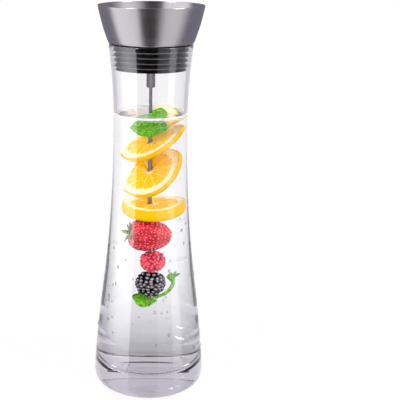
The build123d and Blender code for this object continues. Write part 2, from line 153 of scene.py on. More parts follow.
class FruitSettings(bpy.types.PropertyGroup):
    """Sizes, places and colours of the fruit and the mint."""

    top_radius: length("Top slice radius", 22.7 * MM, "Radius of the highest orange slice")
    top_thickness: length("Top slice thickness", 4 * MM, "Thickness of the highest orange slice")
    middle_radius: length("Middle slice radius", 23.4 * MM, "Radius of the middle orange slice")
    middle_thickness: length("Middle slice thickness", 4.6 * MM, "Thickness of the middle orange slice")
    lower_radius: length("Lower slice radius", 19.8 * MM, "Radius of the lowest orange slice")
    lower_thickness: length("Lower slice thickness", 9.3 * MM, "Thickness of the lowest orange slice")
    middle_trim: length("Middle slice trim", 12.7 * MM, "From its middle to the straight cut")
    top_trim: length("Top slice trim", 17.8 * MM, "From its middle to the straight cut")
    wedge_radius: length("Wedge radius", 24 * MM, "Radius of the orange wedge")
    wedge_thickness: length("Wedge thickness", 5 * MM, "Thickness of the orange wedge")
    wedge_height: length("Wedge height", 221.8 * MM, "Height of the wedge's point")
    wedge_gap: length("Wedge gap", 1.63 * MM, "From the rod's axis to the wedge")
    wedge_bearing: angle("Wedge bearing", 40, "Way from the rod to the wedge, from the right to the back")
    wedge_slope: angle("Wedge slope", 42, "How steeply the wedge leans up")
    wedge_half_angle: angle("Wedge half angle", 36, "Half of the angle at the wedge's point")
    segments: IntProperty(name="Segments", description="Segments of the orange", default=10, min=6, max=14)
    strawberry_length: length("Strawberry length", 26 * MM, "From the calyx to the tip")
    strawberry_radius: length("Strawberry radius", 13.7 * MM, "Radius of the widest place")
    strawberry_height: length("Strawberry height", 133.4 * MM, "Height at which the rod goes through it")
    strawberry_lean: angle("Strawberry lean", 98, "Turn of its tip from upright to the right")
    strawberry_back: length("Strawberry back", 12.3 * MM, "From the rod to the strawberry's back")
    calyx_back: length("Calyx back", 13.2 * MM, "From the rod to the middle of the calyx")
    calyx_leaves: IntProperty(name="Calyx leaves", description="Leaves of the calyx", default=9, min=3)
    seed_spacing: length("Seed spacing", 2.7 * MM, "Distance between the strawberry's seeds")
    seed_length: length("Seed length", 0.55 * MM, "Half the length of a seed")
    seed_width: length("Seed width", 0.38 * MM, "Half the width of a seed")
    seed_height: length("Seed height", 0.34 * MM, "Half the height of a seed")
    seed_sink: length("Seed sink", 0.30 * MM, "How deep the middle of a seed lies in the skin")
    pit_depth: length("Pit depth", 0.55 * MM, "Depth of the pit round a seed")
    pit_radius: length("Pit radius", 0.85 * MM, "Radius of the pit round a seed")
    raspberry_bead: length("Raspberry bead", 1.5 * MM, "Radius of a drupelet of the raspberry")
    bramble_bead: length("Bramble bead", 1.85 * MM, "Radius of a drupelet of the dark berry")
    # The two pulp colours are a painted light and a painted shade, streaked across the pulp.
    flesh: colour("Orange flesh", (1.0, 0.62, 0.012), "Pulp in the light")
    pulp_in_shade: colour("Deep flesh", (0.98, 0.45, 0.0), "Pulp between the light places")
    pith: colour("Pith", (1.0, 0.90, 0.58), "Pith and membranes")
    peel: colour("Peel", (1.0, 0.52, 0.003), "Orange peel")
    wedge_peel: colour("Wedge peel", (0.95, 0.72, 0.06), "Yellower peel of the wedge")
    strawberry: colour("Strawberry", (0.62, 0.010, 0.036), "Strawberry skin")
    raspberry: colour("Raspberry", (0.62, 0.012, 0.045), "Raspberry skin")
    bramble: colour("Bramble", (0.004, 0.0015, 0.003), "Skin of the dark berry")
    mint: colour("Mint", (0.125, 0.37, 0.018), "Upper side of a mint leaf")


class StageSettings(bpy.types.PropertyGroup):
    """Camera, lamps and studio."""

    camera_distance: length("Camera distance", 0.6357, "From the carafe's axis to the camera")
    camera_height: length("Camera height", 0.3648, "Height of the camera above the table")
    camera_pitch: angle("Camera pitch", 17.68, "How far the camera looks down")
    camera_roll: angle("Camera roll", 0.5, "Turn of the camera about its line of sight")
    lens: number("Lens", 72.45, "Focal length in millimetres on a 36 mm sensor")
    shift: number("Shift", 0.1255, "Sideways shift, so that the carafe stands left of the middle")
    lamp_power: number("Lamp power", 6.0, "Power of each of the two large lamps, in watts")
    lamp_size: length("Lamp size", 0.35, "Side of each of the two large lamps")
    aim_height: length("Aim height", 0.16, "Height at which the lamps are aimed")
    # This sets how far the painted shadow round the carafe reaches. It shows only through the glass.
    painted_shadow_radius: length("Dim radius", 0.125, "How far round the carafe the table top looks dim in the glass")
    inside_light: number("Inside light", 3.4, "Strength of the even light on things in the glass")
    room_light: number("Room light", 0.75, "Strength of the even light on matt surfaces")


def make_object(name, bm, finishes, body, replaced=()):
    """Turns a bmesh into a smooth piece with its finishes that rides on a body."""
    if not bm.faces:
        raise RuntimeError(f"{name} has no faces")
    mesh = bpy.data.meshes.new(name)
    for face in bm.faces:
        face.smooth = True
    bm.to_mesh(mesh)
    bm.free()
    piece = bpy.data.objects.new(name, mesh)
    bpy.context.scene.collection.objects.link(piece)
    for finish in finishes:
        mesh.materials.append(finish)
    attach(piece, body)
    if replaced:
        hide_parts(*replaced)
    return piece


class ProfilePen:
    """Draws a section in the plane of radius and height, one run after another."""

    def __init__(self, bm, radius, height):
        self.bm = bm
        self.first = self.last = bm.verts.new((radius, 0, height))

    def line(self, radius, height):
        grown = bmesh.ops.extrude_vert_indiv(self.bm, verts=[self.last])
        self.last = grown["verts"][0]
        self.last.co = (radius, 0, height)

    def arc(self, centre, end, steps):
        """Arc about a centre, by the shorter way, as far as the direction of an end point."""
        start_angle = atan2(self.last.co.z - centre[1], self.last.co.x - centre[0])
        end_angle = atan2(end[1] - centre[1], end[0] - centre[0])
        turn = (end_angle - start_angle + pi) % (2 * pi) - pi
        swept = bmesh.ops.spin(
            self.bm, geom=[self.last], cent=(centre[0], 0, centre[1]), axis=(0, -1, 0),
            dvec=(0, 0, 0), angle=turn, steps=steps, use_duplicate=False)
        self.last = next(part for part in swept["geom_last"] if isinstance(part, bmesh.types.BMVert))

    def close(self):
        self.bm.edges.new((self.last, self.first))

    def turn_round(self, steps=ROUND_STEPS):
        """Turns the section once round the upright axis and closes the seam and the poles."""
        bmesh.ops.spin(
            self.bm, geom=self.bm.verts[:] + self.bm.edges[:], cent=(0, 0, 0), axis=(0, 0, 1),
            dvec=(0, 0, 0), angle=2 * pi, steps=steps, use_merge=True, use_duplicate=False)
        bmesh.ops.remove_doubles(self.bm, verts=self.bm.verts, dist=TINY)
        bmesh.ops.recalc_face_normals(self.bm, faces=self.bm.faces)


def tangent_centre(start, end, normal):
    """Centre, on a normal through the start, of the circle that also goes through the end."""
    run = end - start
    return start + normal * (run.length_squared / (2 * run.dot(normal)))


def corner_round(centre, radius, level, rounding):
    """Middle of a round between a level and a circle's inside, and where it meets the circle.

    A negative rounding lies under the level."""
    height = level + rounding
    reach = radius - abs(rounding)
    middle = Vector((centre.x + sqrt(reach ** 2 - (height - centre.y) ** 2), height))
    return middle, centre + (middle - centre) * (radius / reach)


def circle_through(first, second, third):
    """Centre and radius of the circle through three points of a section."""
    a, b = second - first, third - first
    doubled = 2 * (a.x * b.y - a.y * b.x)
    across = Vector((
        (b.y * a.length_squared - a.y * b.length_squared) / doubled,
        (a.x * b.length_squared - b.x * a.length_squared) / doubled))
    return first + across, across.length


def carafe_side(sizes, inset):
    """Points and circles of the carafe's side, moved inwards by an inset."""
    side = SimpleNamespace()
    side.base = Vector((sizes.base_radius - inset, 0))
    side.flank = Vector((sizes.flank_radius - inset, sizes.flank_height))
    side.waist = Vector((sizes.waist_radius - inset, sizes.waist_height))
    side.mouth = Vector((sizes.mouth_radius - inset, sizes.height))
    outwards = Vector((1, 0))
    side.taper_centre = tangent_centre(side.waist, side.flank, outwards)
    side.flare_centre = tangent_centre(side.waist, side.mouth, outwards)
    side.foot_centre = tangent_centre(side.flank, side.base, (side.taper_centre - side.flank).normalized())
    side.foot_radius = (side.flank - side.foot_centre).length
    return side


def side_point(side, height):
    """Point of the carafe's side at a height."""
    if height < side.flank.y:
        centre, through, way = side.foot_centre, side.flank, 1
    else:
        centre, way = (side.taper_centre if height < side.waist.y else side.flare_centre), -1
        through = side.waist
    radius = (through - centre).length
    return Vector((centre.x + way * sqrt(radius ** 2 - (height - centre.y) ** 2), height))


def add_node(tree, kind, inputs=(), **settings):
    """Adds a node, sets its settings, and sets or links its inputs by index or by name."""
    node = tree.nodes.new("ShaderNode" + kind)
    for name, value in settings.items():
        setattr(node, name, value)
    for key, value in inputs.items() if isinstance(inputs, dict) else enumerate(inputs):
        if isinstance(value, bpy.types.NodeSocket):
            tree.links.new(value, node.inputs[key])
        elif value is not None:
            node.inputs[key].default_value = value
    return node


def maths(tree, operation, *values):
    """Result of a maths node."""
    return add_node(tree, "Math", values, operation=operation).outputs[0]


def between(tree, value, low, high, at_low=0.0, at_high=1.0, smooth=True):
    """A value brought from one range to another, and held at its ends."""
    kind = "SMOOTHSTEP" if smooth else "LINEAR"
    inputs = {"Value": value, "From Min": low, "From Max": high, "To Min": at_low, "To Max": at_high}
    return add_node(tree, "MapRange", inputs, interpolation_type=kind).outputs[0]


def mixed(tree, share, first, second):
    """Two colours mixed by a share of the second. The mix node's colours are its inputs 6 and 7."""
    inputs = {0: share}
    for key, side in ((6, first), (7, second)):
        inputs[key] = (*side, 1) if isinstance(side, (tuple, list)) and len(side) == 3 else side
    return add_node(tree, "Mix", inputs, data_type="RGBA").outputs[2]


def noise_of(tree, vector, scale, detail=2.0, roughness=0.5):
    """Height of a noise texture."""
    inputs = {"Vector": vector, "Scale": scale, "Detail": detail, "Roughness": roughness}
    return add_node(tree, "TexNoise", inputs).outputs[0]


def bump_of(tree, height, strength, distance):
    """Normal of a bumped surface."""
    return add_node(tree, "Bump", {"Strength": strength, "Distance": distance, "Height": height}).outputs[0]


def new_finish(name, **sockets):
    """A material with one Principled shader.

    Returns the material, its tree, its shader and the object coordinates."""
    material = bpy.data.materials.new(name)
    material.use_nodes = True
    tree = material.node_tree
    shader = next(node for node in tree.nodes if node.type == "BSDF_PRINCIPLED")
    for key, value in sockets.items():
        socket = shader.inputs[key.replace("_", " ")]
        if hasattr(socket.default_value, "__len__") and len(value) == 3:
            value = (*value, 1)
        socket.default_value = value
    here = add_node(tree, "TexCoord").outputs["Object"]
    return material, tree, shader, here


def join(tree, socket, shader, name):
    """Links a socket to one of the shader's inputs."""
    tree.links.new(socket, shader.inputs[name])


def rgb(values, factor=1.0):
    """Plain tuple of a colour property, brightened or darkened by a factor."""
    return tuple(min(1.0, value * factor) for value in values)


def clear_finish(name, tint, index, wetted=False, clearness=1.0, wave=0.02):
    """Clear glass or water with a very slight waviness.

    Where water wets the glass, hardly anything is reflected."""
    material, tree, shader, here = new_finish(
        name, Base_Color=tint, Roughness=0.0, IOR=index, Transmission_Weight=clearness)
    if wetted:
        shader.inputs["Specular Tint"].default_value = (0, 0, 0, 1)
    join(tree, bump_of(tree, noise_of(tree, here, 28.0, 1.0), wave, 0.002), shader, "Normal")
    return material


def meniscus_finish():
    """Water where it climbs the glass, part white and matt, which is a painted highlight for the bright
    line there.
    """
    material, tree, shader, here = new_finish(
        # Painted highlight: the white base colour, with little transmission, draws the meniscus as a bright
        # line.
        "meniscus_finish", Base_Color=(1, 1, 1), IOR=WATER_INDEX, Transmission_Weight=0.45)
    join(tree, between(tree, noise_of(tree, here, 90.0), 0.3, 0.7, 0.25, 0.4), shader, "Roughness")
    return material


def droplet_finish():
    """Clear droplets whose dark rim is painted shade, drawn where the surface turns away from the view, and
    weaker through glass and water.
    """
    material, tree, shader, here = new_finish("droplet_finish", Roughness=0.15)
    # Painted shade: the rim's dark colour shows where the droplet's surface turns away from the view.
    facing = add_node(tree, "LayerWeight", {"Blend": 0.5}).outputs["Facing"]
    cloud = noise_of(tree, here, 300.0)
    join(tree, mixed(tree, cloud, (0.10, 0.10, 0.12), (0.20, 0.19, 0.23)), shader, "Base Color")
    depth = add_node(tree, "LightPath").outputs["Transmission Depth"]
    near = between(tree, depth, 1.5, 2.5, 0.45, 0.07)
    join(tree, maths(tree, "MULTIPLY", between(tree, facing, 0.04, 0.28), near), shader, "Alpha")
    return material


def mark_wetted(bm, side, bottom, top):
    """Gives the second finish to the faces under water that lie on a side or between it and the axis."""
    for face in bm.faces:
        middle = face.calc_center_median()
        if bottom - TINY < middle.z < top:
            if hypot(middle.x, middle.y) < side_point(side, middle.z).x + 0.3 * MM:
                face.material_index = 1


def draw_dish(pen, sizes, floor):
    """Goes on from the inside floor's edge to the axis, down a slope to the lower middle."""
    pen.line(sizes.dish_radius + sizes.dish_slope, floor)
    pen.line(sizes.dish_radius, floor - sizes.dish_depth)
    pen.line(sizes.dish_radius / 2, floor - sizes.dish_depth)
    pen.line(0, floor - sizes.dish_depth)


class INFUSER_OT_glass(bpy.types.Operator):
    """Blow the carafe as one closed glass shell with a thick base, a punt and a rounded lip"""

    bl_idname = "infuser.make_glass"
    bl_label = "Glass carafe"

    def execute(self, context):
        sizes = context.scene.infuser_carafe
        outer = carafe_side(sizes, 0)
        inner = carafe_side(sizes, sizes.wall)
        bm = bmesh.new()
        pen = ProfilePen(bm, 0, sizes.punt_depth)
        punt_top, punt_edge = Vector((0, sizes.punt_depth)), Vector((sizes.punt_radius, 0))
        pen.arc(tangent_centre(punt_top, punt_edge, Vector((0, -1))), punt_edge, steps=12)
        corner, meet = corner_round(outer.foot_centre, outer.foot_radius, 0, sizes.base_round)
        pen.line(corner.x, 0)
        pen.arc(corner, meet, steps=12)
        pen.arc(outer.foot_centre, outer.flank, steps=24)
        pen.arc(outer.taper_centre, outer.waist, steps=36)
        lip = sizes.wall / 2
        lip_outer = side_point(outer, sizes.lip_height - lip)
        lip_inner = side_point(inner, sizes.lip_height - lip)
        lip_middle = (lip_outer + lip_inner) / 2
        pen.arc(outer.flare_centre, lip_outer, steps=18)
        pen.arc(lip_middle, (lip_middle.x, sizes.lip_height), steps=5)
        pen.arc(lip_middle, lip_inner, steps=5)
        wet_height = sizes.water_level + sizes.meniscus
        pen.arc(inner.flare_centre, side_point(inner, wet_height), steps=16)
        pen.arc(inner.flare_centre, inner.waist, steps=2)
        pen.arc(inner.taper_centre, inner.flank, steps=36)
        corner, meet = corner_round(inner.foot_centre, inner.foot_radius, sizes.floor, sizes.floor_round)
        pen.arc(inner.foot_centre, meet, steps=20)
        pen.arc(corner, (corner.x, sizes.floor), steps=10)
        draw_dish(pen, sizes, sizes.floor)
        pen.turn_round()
        mark_wetted(bm, inner, sizes.floor - sizes.dish_depth, wet_height)
        finishes = [clear_finish("clear_glass_finish", sizes.glass_tint, GLASS_INDEX),
                    clear_finish("wetted_glass_finish", sizes.glass_tint, GLASS_INDEX, wetted=True)]
        make_object("glass_carafe", bm, finishes, "carafe", ["carafe_glass"])
        return {"FINISHED"}


class INFUSER_OT_water(bpy.types.Operator):
    """Fill the carafe with water that climbs the glass a little at its edge"""

    bl_idname = "infuser.fill_water"
    bl_label = "Water"

    def execute(self, context):
        sizes = context.scene.infuser_carafe
        skin = carafe_side(sizes, sizes.wall - sizes.soak)
        inner = carafe_side(sizes, sizes.wall)
        bottom = sizes.floor - sizes.soak
        top = sizes.water_level + sizes.meniscus
        bm = bmesh.new()
        edge = side_point(inner, top)
        pen = ProfilePen(bm, 0, sizes.water_level)
        pen.line(edge.x / 2, sizes.water_level)
        pen.line(edge.x - sizes.meniscus, sizes.water_level)
        pen.arc((edge.x - sizes.meniscus, top), (edge.x, top), steps=8)
        skin_edge = side_point(skin, top)
        pen.line(skin_edge.x, top)
        pen.arc(skin.flare_centre, skin.waist, steps=3)
        pen.arc(skin.taper_centre, skin.flank, steps=36)
        corner, meet = corner_round(skin.foot_centre, skin.foot_radius, bottom, sizes.floor_round)
        pen.arc(skin.foot_centre, meet, steps=20)
        pen.arc(corner, (corner.x, bottom), steps=10)
        draw_dish(pen, sizes, bottom)
        pen.turn_round()
        for face in bm.faces:
            middle = face.calc_center_median()
            if middle.z < sizes.water_level - MM:
                face.material_index = 1
            elif middle.z > sizes.water_level + TINY:
                face.material_index = 2
        finishes = [clear_finish("water_finish", (0.99, 0.95, 0.92), WATER_INDEX, clearness=0.8),
                    clear_finish("water_skin_finish", (0.99, 0.99, 0.995), WATER_INDEX, wetted=True),
                    meniscus_finish()]
        make_object("water", bm, finishes, "carafe")
        return {"FINISHED"}


class INFUSER_OT_droplets(bpy.types.Operator):
    """Scatter flat water droplets over the lower part of the glass"""

    bl_idname = "infuser.add_droplets"
    bl_label = "Droplets"

    def execute(self, context):
        sizes = context.scene.infuser_carafe
        outer = carafe_side(sizes, 0)
        chance = Random(23)
        bm = bmesh.new()
        for _ in range(sizes.droplets):
            height = sizes.droplet_bottom + sizes.droplet_span * chance.random() ** 1.3
            size = sizes.droplet_size + sizes.droplet_growth * chance.random() ** 1.6
            turn = Matrix.Rotation(2 * pi * chance.random(), 4, "Z")
            on_side = Matrix.Translation((side_point(outer, height).x, 0, height))
            shape = Matrix.Diagonal((0.4 * size, size, size * (1.1 + 0.5 * chance.random()), 1))
            bmesh.ops.create_icosphere(bm, subdivisions=2, radius=1, matrix=turn @ on_side @ shape)
        make_object("glass_droplets", bm, [droplet_finish()], "carafe")
        return {"FINISHED"}


def steel_finish(name, base, roughness, brushed):
    """Steel, brushed round the upright axis or polished."""
    material, tree, shader, here = new_finish(
        name, Metallic=1.0, Roughness=roughness, Anisotropic=0.5 if brushed else 0.0)
    place = add_node(tree, "SeparateXYZ", [here]).outputs
    bearing = maths(tree, "ARCTAN2", place[1], place[0])
    around = 0.9 if brushed else 14.0
    along = add_node(tree, "CombineXYZ", [maths(tree, "MULTIPLY", bearing, around), 0.0,
                                          maths(tree, "MULTIPLY", place[2], 2600.0)]).outputs[0]
    lines = noise_of(tree, along, 1.0, 3.0)
    clouds = noise_of(tree, here, 60.0, 2.0)
    join(tree, mixed(tree, lines, rgb(base, 0.90), rgb(base, 1.08)), shader, "Base Color")
    spread = between(tree, maths(tree, "ADD", lines, clouds), 0.6, 1.4, roughness * 0.8, roughness * 1.25)
    join(tree, spread, shader, "Roughness")
    join(tree, bump_of(tree, lines, 0.06 if brushed else 0.02, 0.0004), shader, "Normal")
    if brushed:
        tangent = add_node(tree, "Tangent", direction_type="RADIAL", axis="Z").outputs[0]
        join(tree, tangent, shader, "Tangent")
    return material


def dark_finish(name, base, roughness, grain, shine=0.45):
    """Dark rubber or moulded plastic with a fine grain and a cloudy tone."""
    material, tree, shader, here = new_finish(name, Specular_IOR_Level=shine)
    speck = noise_of(tree, here, grain, 4.0)
    cloud = noise_of(tree, here, 90.0, 2.0)
    join(tree, mixed(tree, cloud, rgb(base, 0.7), rgb(base, 1.7)), shader, "Base Color")
    join(tree, between(tree, speck, 0.3, 0.7, roughness - 0.08, roughness + 0.08), shader, "Roughness")
    join(tree, bump_of(tree, speck, 0.12, 0.0002), shader, "Normal")
    return material


class INFUSER_OT_funnel(bpy.types.Operator):
    """Spin the pouring funnel from sheet steel, with a rounded rim"""

    bl_idname = "infuser.make_funnel"
    bl_label = "Pouring funnel"

    def execute(self, context):
        sizes = context.scene.infuser_lid
        bottom, top = FUNNEL_LOW.z, FUNNEL_HIGH.z
        walls = []
        for inset in (0, sizes.sheet):
            foot = Vector((sizes.foot_radius - inset, bottom + inset))
            rim = Vector((sizes.rim_radius - inset, top))
            outwards = Vector((rim.y - foot.y, foot.x - rim.x)).normalized()
            centre, radius = circle_through(foot, (foot + rim) / 2 + outwards * sizes.bulge, rim)
            corner, meet = corner_round(centre, radius, bottom + inset, sizes.corner - inset)
            edge = top - sizes.sheet / 2
            reach = centre.x + sqrt(radius ** 2 - (edge - centre.y) ** 2)
            edge_point = Vector((reach, edge))
            walls.append(SimpleNamespace(centre=centre, corner=corner, meet=meet, rim=edge_point))
        outer, inner = walls
        rim_middle = (outer.rim + inner.rim) / 2
        bm = bmesh.new()
        pen = ProfilePen(bm, sizes.throat_radius, bottom)
        pen.line(outer.corner.x, bottom)
        pen.arc(outer.corner, outer.meet, steps=5)
        pen.arc(outer.centre, outer.rim, steps=24)
        pen.arc(rim_middle, (rim_middle.x, top), steps=4)
        pen.arc(rim_middle, inner.rim, steps=4)
        pen.arc(inner.centre, inner.meet, steps=24)
        pen.arc(inner.corner, (inner.corner.x, bottom + sizes.sheet), steps=4)
        pen.line(sizes.throat_radius, bottom + sizes.sheet)
        pen.close()
        pen.turn_round()
        finish = steel_finish("brushed_steel_finish", sizes.steel, roughness=0.20, brushed=True)
        make_object("steel_funnel", bm, [finish], "lid", ["pouring_funnel"])
        return {"FINISHED"}


class INFUSER_OT_seal(bpy.types.Operator):
    """Turn the silicone seal, with its fins pressed against the glass"""

    bl_idname = "infuser.make_seal"
    bl_label = "Silicone seal"

    def execute(self, context):
        sizes = context.scene.infuser_lid
        mouth = carafe_side(context.scene.infuser_carafe, context.scene.infuser_carafe.wall)
        bottom, top, sleeve = SEAL_LOW.z, SEAL_HIGH.z, sizes.sleeve_radius
        flange_bottom = top - sizes.flange_thickness
        bm = bmesh.new()
        pen = ProfilePen(bm, sizes.seal_bore, bottom)
        pen.line(side_point(mouth, bottom).x - sizes.flange_gap, bottom)
        pen.line(sleeve, bottom + sizes.fin_root / 2)
        for index in range(sizes.fins):
            middle = bottom + sizes.fin_start + index * sizes.fin_spacing
            reach = side_point(mouth, middle).x + sizes.fin_press
            pen.line(sleeve, middle - sizes.fin_root / 2)
            tip = reach - sizes.fin_tip / 2
            pen.line(tip, middle - sizes.fin_tip / 2)
            pen.arc((tip, middle), (reach, middle), steps=2)
            pen.arc((tip, middle), (tip, middle + sizes.fin_tip / 2), steps=2)
            pen.line(sleeve, middle + sizes.fin_root / 2)
        rounding = sizes.flange_round
        edge = side_point(mouth, flange_bottom).x - sizes.flange_gap
        corner = edge - rounding
        pen.line(sleeve, flange_bottom)
        pen.line(corner, flange_bottom)
        pen.arc((corner, flange_bottom + rounding), (edge, flange_bottom + rounding), steps=5)
        pen.line(edge, top - rounding)
        pen.arc((corner, top - rounding), (corner, top), steps=5)
        pen.line(sizes.seal_bore, top)
        pen.close()
        pen.turn_round()
        # Painted highlight: the fin tips next to the glass get the second finish, a lighter grey for the
        # bright line at each fin.
        for face in bm.faces:
            spot = face.calc_center_median()
            pressed = side_point(mouth, spot.z).x - sizes.fin_tip / 3
            if spot.z < flange_bottom and hypot(spot.x, spot.y) > pressed:
                face.material_index = 1
        satin = {"roughness": 0.30, "grain": 2600.0, "shine": 0.1}
        finishes = [dark_finish("seal_finish", sizes.rubber, **satin),
                    dark_finish("fin_tip_highlight_finish", sizes.fin_tip_highlight, **satin)]
        piece = make_object("finned_seal", bm, finishes, "lid", ["silicone_seal"])
        sharpen(piece.data)
        return {"FINISHED"}


def sharpen(mesh, limit=radians(38)):
    """Keeps the edges sharp at which a smooth mesh turns by more than a limit."""
    mesh.set_sharp_from_angle(angle=limit)


class INFUSER_OT_lid(bpy.types.Operator):
    """Give the lid's other parts and the skewer their rubber, plastic and steel"""

    bl_idname = "infuser.dress_lid"
    bl_label = "Lid parts and skewer"

    def execute(self, context):
        sizes = context.scene.infuser_lid
        rubber = dark_finish("silicone_finish", sizes.rubber, roughness=0.42, grain=2600.0)
        plastic = dark_finish("moulded_plastic_finish", sizes.plastic, roughness=0.55, grain=1400.0)
        brushed = steel_finish("flap_steel_finish", sizes.steel, roughness=0.30, brushed=True)
        polished = steel_finish("polished_steel_finish", sizes.rod_steel, roughness=0.14, brushed=False)
        finishes = {
            "flap_gasket": rubber, "lid_core": plastic, "retaining_ring": plastic,
            "pour_flap": brushed, "flap_hinge_pin": polished, "strainer_disc": polished,
            "skewer_socket": polished, "socket_nut": polished, "fruit_skewer": polished,
        }
        for node, finish in finishes.items():
            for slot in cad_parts[node].material_slots:
                slot.material = finish
        return {"FINISHED"}


def citrus_finish(name, place, radius, fruit, turn, peel):
    """Orange slice: pulp in segments, membranes, a pale core, pith and a pored peel.

    The pattern lies in the slice's own plane, which a mapping finds from where the slice is."""
    material, tree, shader, here = new_finish(name, Specular_IOR_Level=0.06)
    own_plane = {"Location": place.translation, "Rotation": place.to_euler("XYZ"), "Scale": (MM,) * 3}
    local = add_node(tree, "Mapping", {"Vector": here, **own_plane}, vector_type="TEXTURE").outputs[0]
    flat = add_node(tree, "VectorMath", [local, (1, 1, 0)], operation="MULTIPLY").outputs[0]
    away = add_node(tree, "VectorMath", [flat], operation="LENGTH").outputs[1]
    spot = add_node(tree, "SeparateXYZ", [local]).outputs
    wobble = maths(tree, "MULTIPLY", maths(tree, "SUBTRACT", noise_of(tree, local, 0.16, 1.0), 0.5), 0.35)
    bearing = maths(tree, "ARCTAN2", spot[1], spot[0])
    even_turns = maths(tree, "MULTIPLY_ADD", bearing, fruit.segments / (2 * pi), turn)
    turns = maths(tree, "ADD", even_turns, wobble)
    share = maths(tree, "PINGPONG", turns, 0.5)
    beside = maths(tree, "MULTIPLY", maths(tree, "MULTIPLY", share, away), 2 * pi / fruit.segments)
    membrane = between(tree, beside, 0.15, 0.6, 0.38, 0.0)
    outer = radius / MM
    flesh_edge = outer * FLESH_SHARE
    dip = maths(tree, "POWER", between(tree, share, 0.0, 0.22, 1.0, 0.0, False), 2.0)
    edge = maths(tree, "MULTIPLY_ADD", dip, -1.7, flesh_edge)
    inside = between(tree, maths(tree, "SUBTRACT", away, edge), -0.3, 0.25, 1.0, 0.0)
    past_core = between(tree, away, 1.4, 2.6)
    between_membranes = maths(tree, "SUBTRACT", 1.0, membrane)
    pulp = maths(tree, "MULTIPLY", maths(tree, "MULTIPLY", inside, past_core), between_membranes)
    across = maths(tree, "MULTIPLY", turns, 5.5)
    outwards = maths(tree, "MULTIPLY", away, 0.42)
    streak_place = add_node(tree, "CombineXYZ", [across, outwards, spot[2]]).outputs[0]
    streaks = noise_of(tree, streak_place, 1.0, 3.0, 0.6)
    # The pulp is streaked along its juice sacs, in a lighter tone that is painted light and a deeper one
    # that is painted shade.
    pulp_in_light_and_shade = mixed(tree, between(tree, streaks, 0.35, 0.65), rgb(fruit.pulp_in_shade), rgb(fruit.flesh))
    pale = mixed(tree, noise_of(tree, local, 0.8, 3.0), rgb(fruit.pith, 0.93), rgb(fruit.pith, 1.04))
    peel_share = between(tree, away, outer - 1.5, outer - 0.9)
    pores = add_node(tree, "TexVoronoi", {"Vector": local, "Scale": 1.1}).outputs[0]
    zest = mixed(tree, between(tree, pores, 0.1, 0.5), rgb(peel, 0.82), rgb(peel, 1.1))
    surface = mixed(tree, peel_share, mixed(tree, pulp, pale, pulp_in_light_and_shade), zest)
    # Painted shade: the flesh round the rod, where it goes through the slice, is darkened to a dark brown.
    rod = add_node(tree, "VectorMath", [here, (1, 1, 0)], operation="MULTIPLY").outputs[0]
    from_rod = add_node(tree, "VectorMath", [rod], operation="LENGTH").outputs[1]
    rod_hole_shade = between(tree, from_rod, 1.5 * MM, 2.6 * MM, 0.75, 0.0)
    join(tree, mixed(tree, rod_hole_shade, surface, (0.16, 0.07, 0.01)), shader, "Base Color")
    join(tree, between(tree, pulp, 0.0, 1.0, 0.5, 0.22), shader, "Roughness")
    cells = maths(tree, "MULTIPLY", pulp, streaks)
    dimples = maths(tree, "MULTIPLY", peel_share, pores)
    join(tree, bump_of(tree, maths(tree, "ADD", cells, dimples), 0.45, 0.0006), shader, "Normal")
    return material


def citrus_section(bm, radius, thickness):
    """Half section of a slice from axis to axis, with a crowned peel. Returns the pen."""
    half = thickness / 2
    crown = 0.7 * MM
    steps = [0.10, 0.25, 0.45, 0.62, 0.74, 0.80, 0.86, 0.93]
    edge = Vector((radius - crown, half))
    centre, _ = circle_through(Vector((edge.x, -half)), Vector((radius, 0)), edge)
    pen = ProfilePen(bm, 0, -half)
    for step in steps:
        pen.line(step * radius, -half)
    pen.line(edge.x, -half)
    pen.arc(centre, edge, steps=6)
    for step in reversed(steps):
        pen.line(step * radius, half)
    pen.line(0, half)
    return pen


def press_segments(bm, radius, thickness, segments, turn):
    """Presses the membranes in and swells the pulp on both cut faces of a slice."""
    half = thickness / 2
    flesh = FLESH_SHARE * radius
    groove_width, groove_depth, swelling = 0.8 * MM, 0.55 * MM, 0.25 * MM
    for vert in bm.verts:
        away = hypot(vert.co.x, vert.co.y)
        if abs(abs(vert.co.z) - half) > TINY or away > 0.84 * radius or away < 0.05 * radius:
            continue
        turns = atan2(vert.co.y, vert.co.x) * segments / (2 * pi) + turn
        beside = abs(turns - round(turns)) * 2 * pi * away / segments
        groove = groove_depth * exp(-(beside / groove_width) ** 2)
        swell = swelling * min(1.0, max(0.0, (flesh - away) / (0.1 * radius)))
        vert.co.z += (swell - groove) * (1 if vert.co.z > 0 else -1)


def trim_slice(bm, distance, bearing):
    """Cuts a slice off straight at a distance from its middle, on the side of a bearing in degrees."""
    away = Vector((cos(radians(bearing)), sin(radians(bearing)), 0))
    cut = bmesh.ops.bisect_plane(
        bm, geom=bm.verts[:] + bm.edges[:] + bm.faces[:], plane_co=away * distance, plane_no=away,
        clear_outer=True)
    edges = [part for part in cut["geom_cut"] if isinstance(part, bmesh.types.BMEdge)]
    bmesh.ops.contextual_create(bm, geom=edges)
    bmesh.ops.recalc_face_normals(bm, faces=bm.faces)


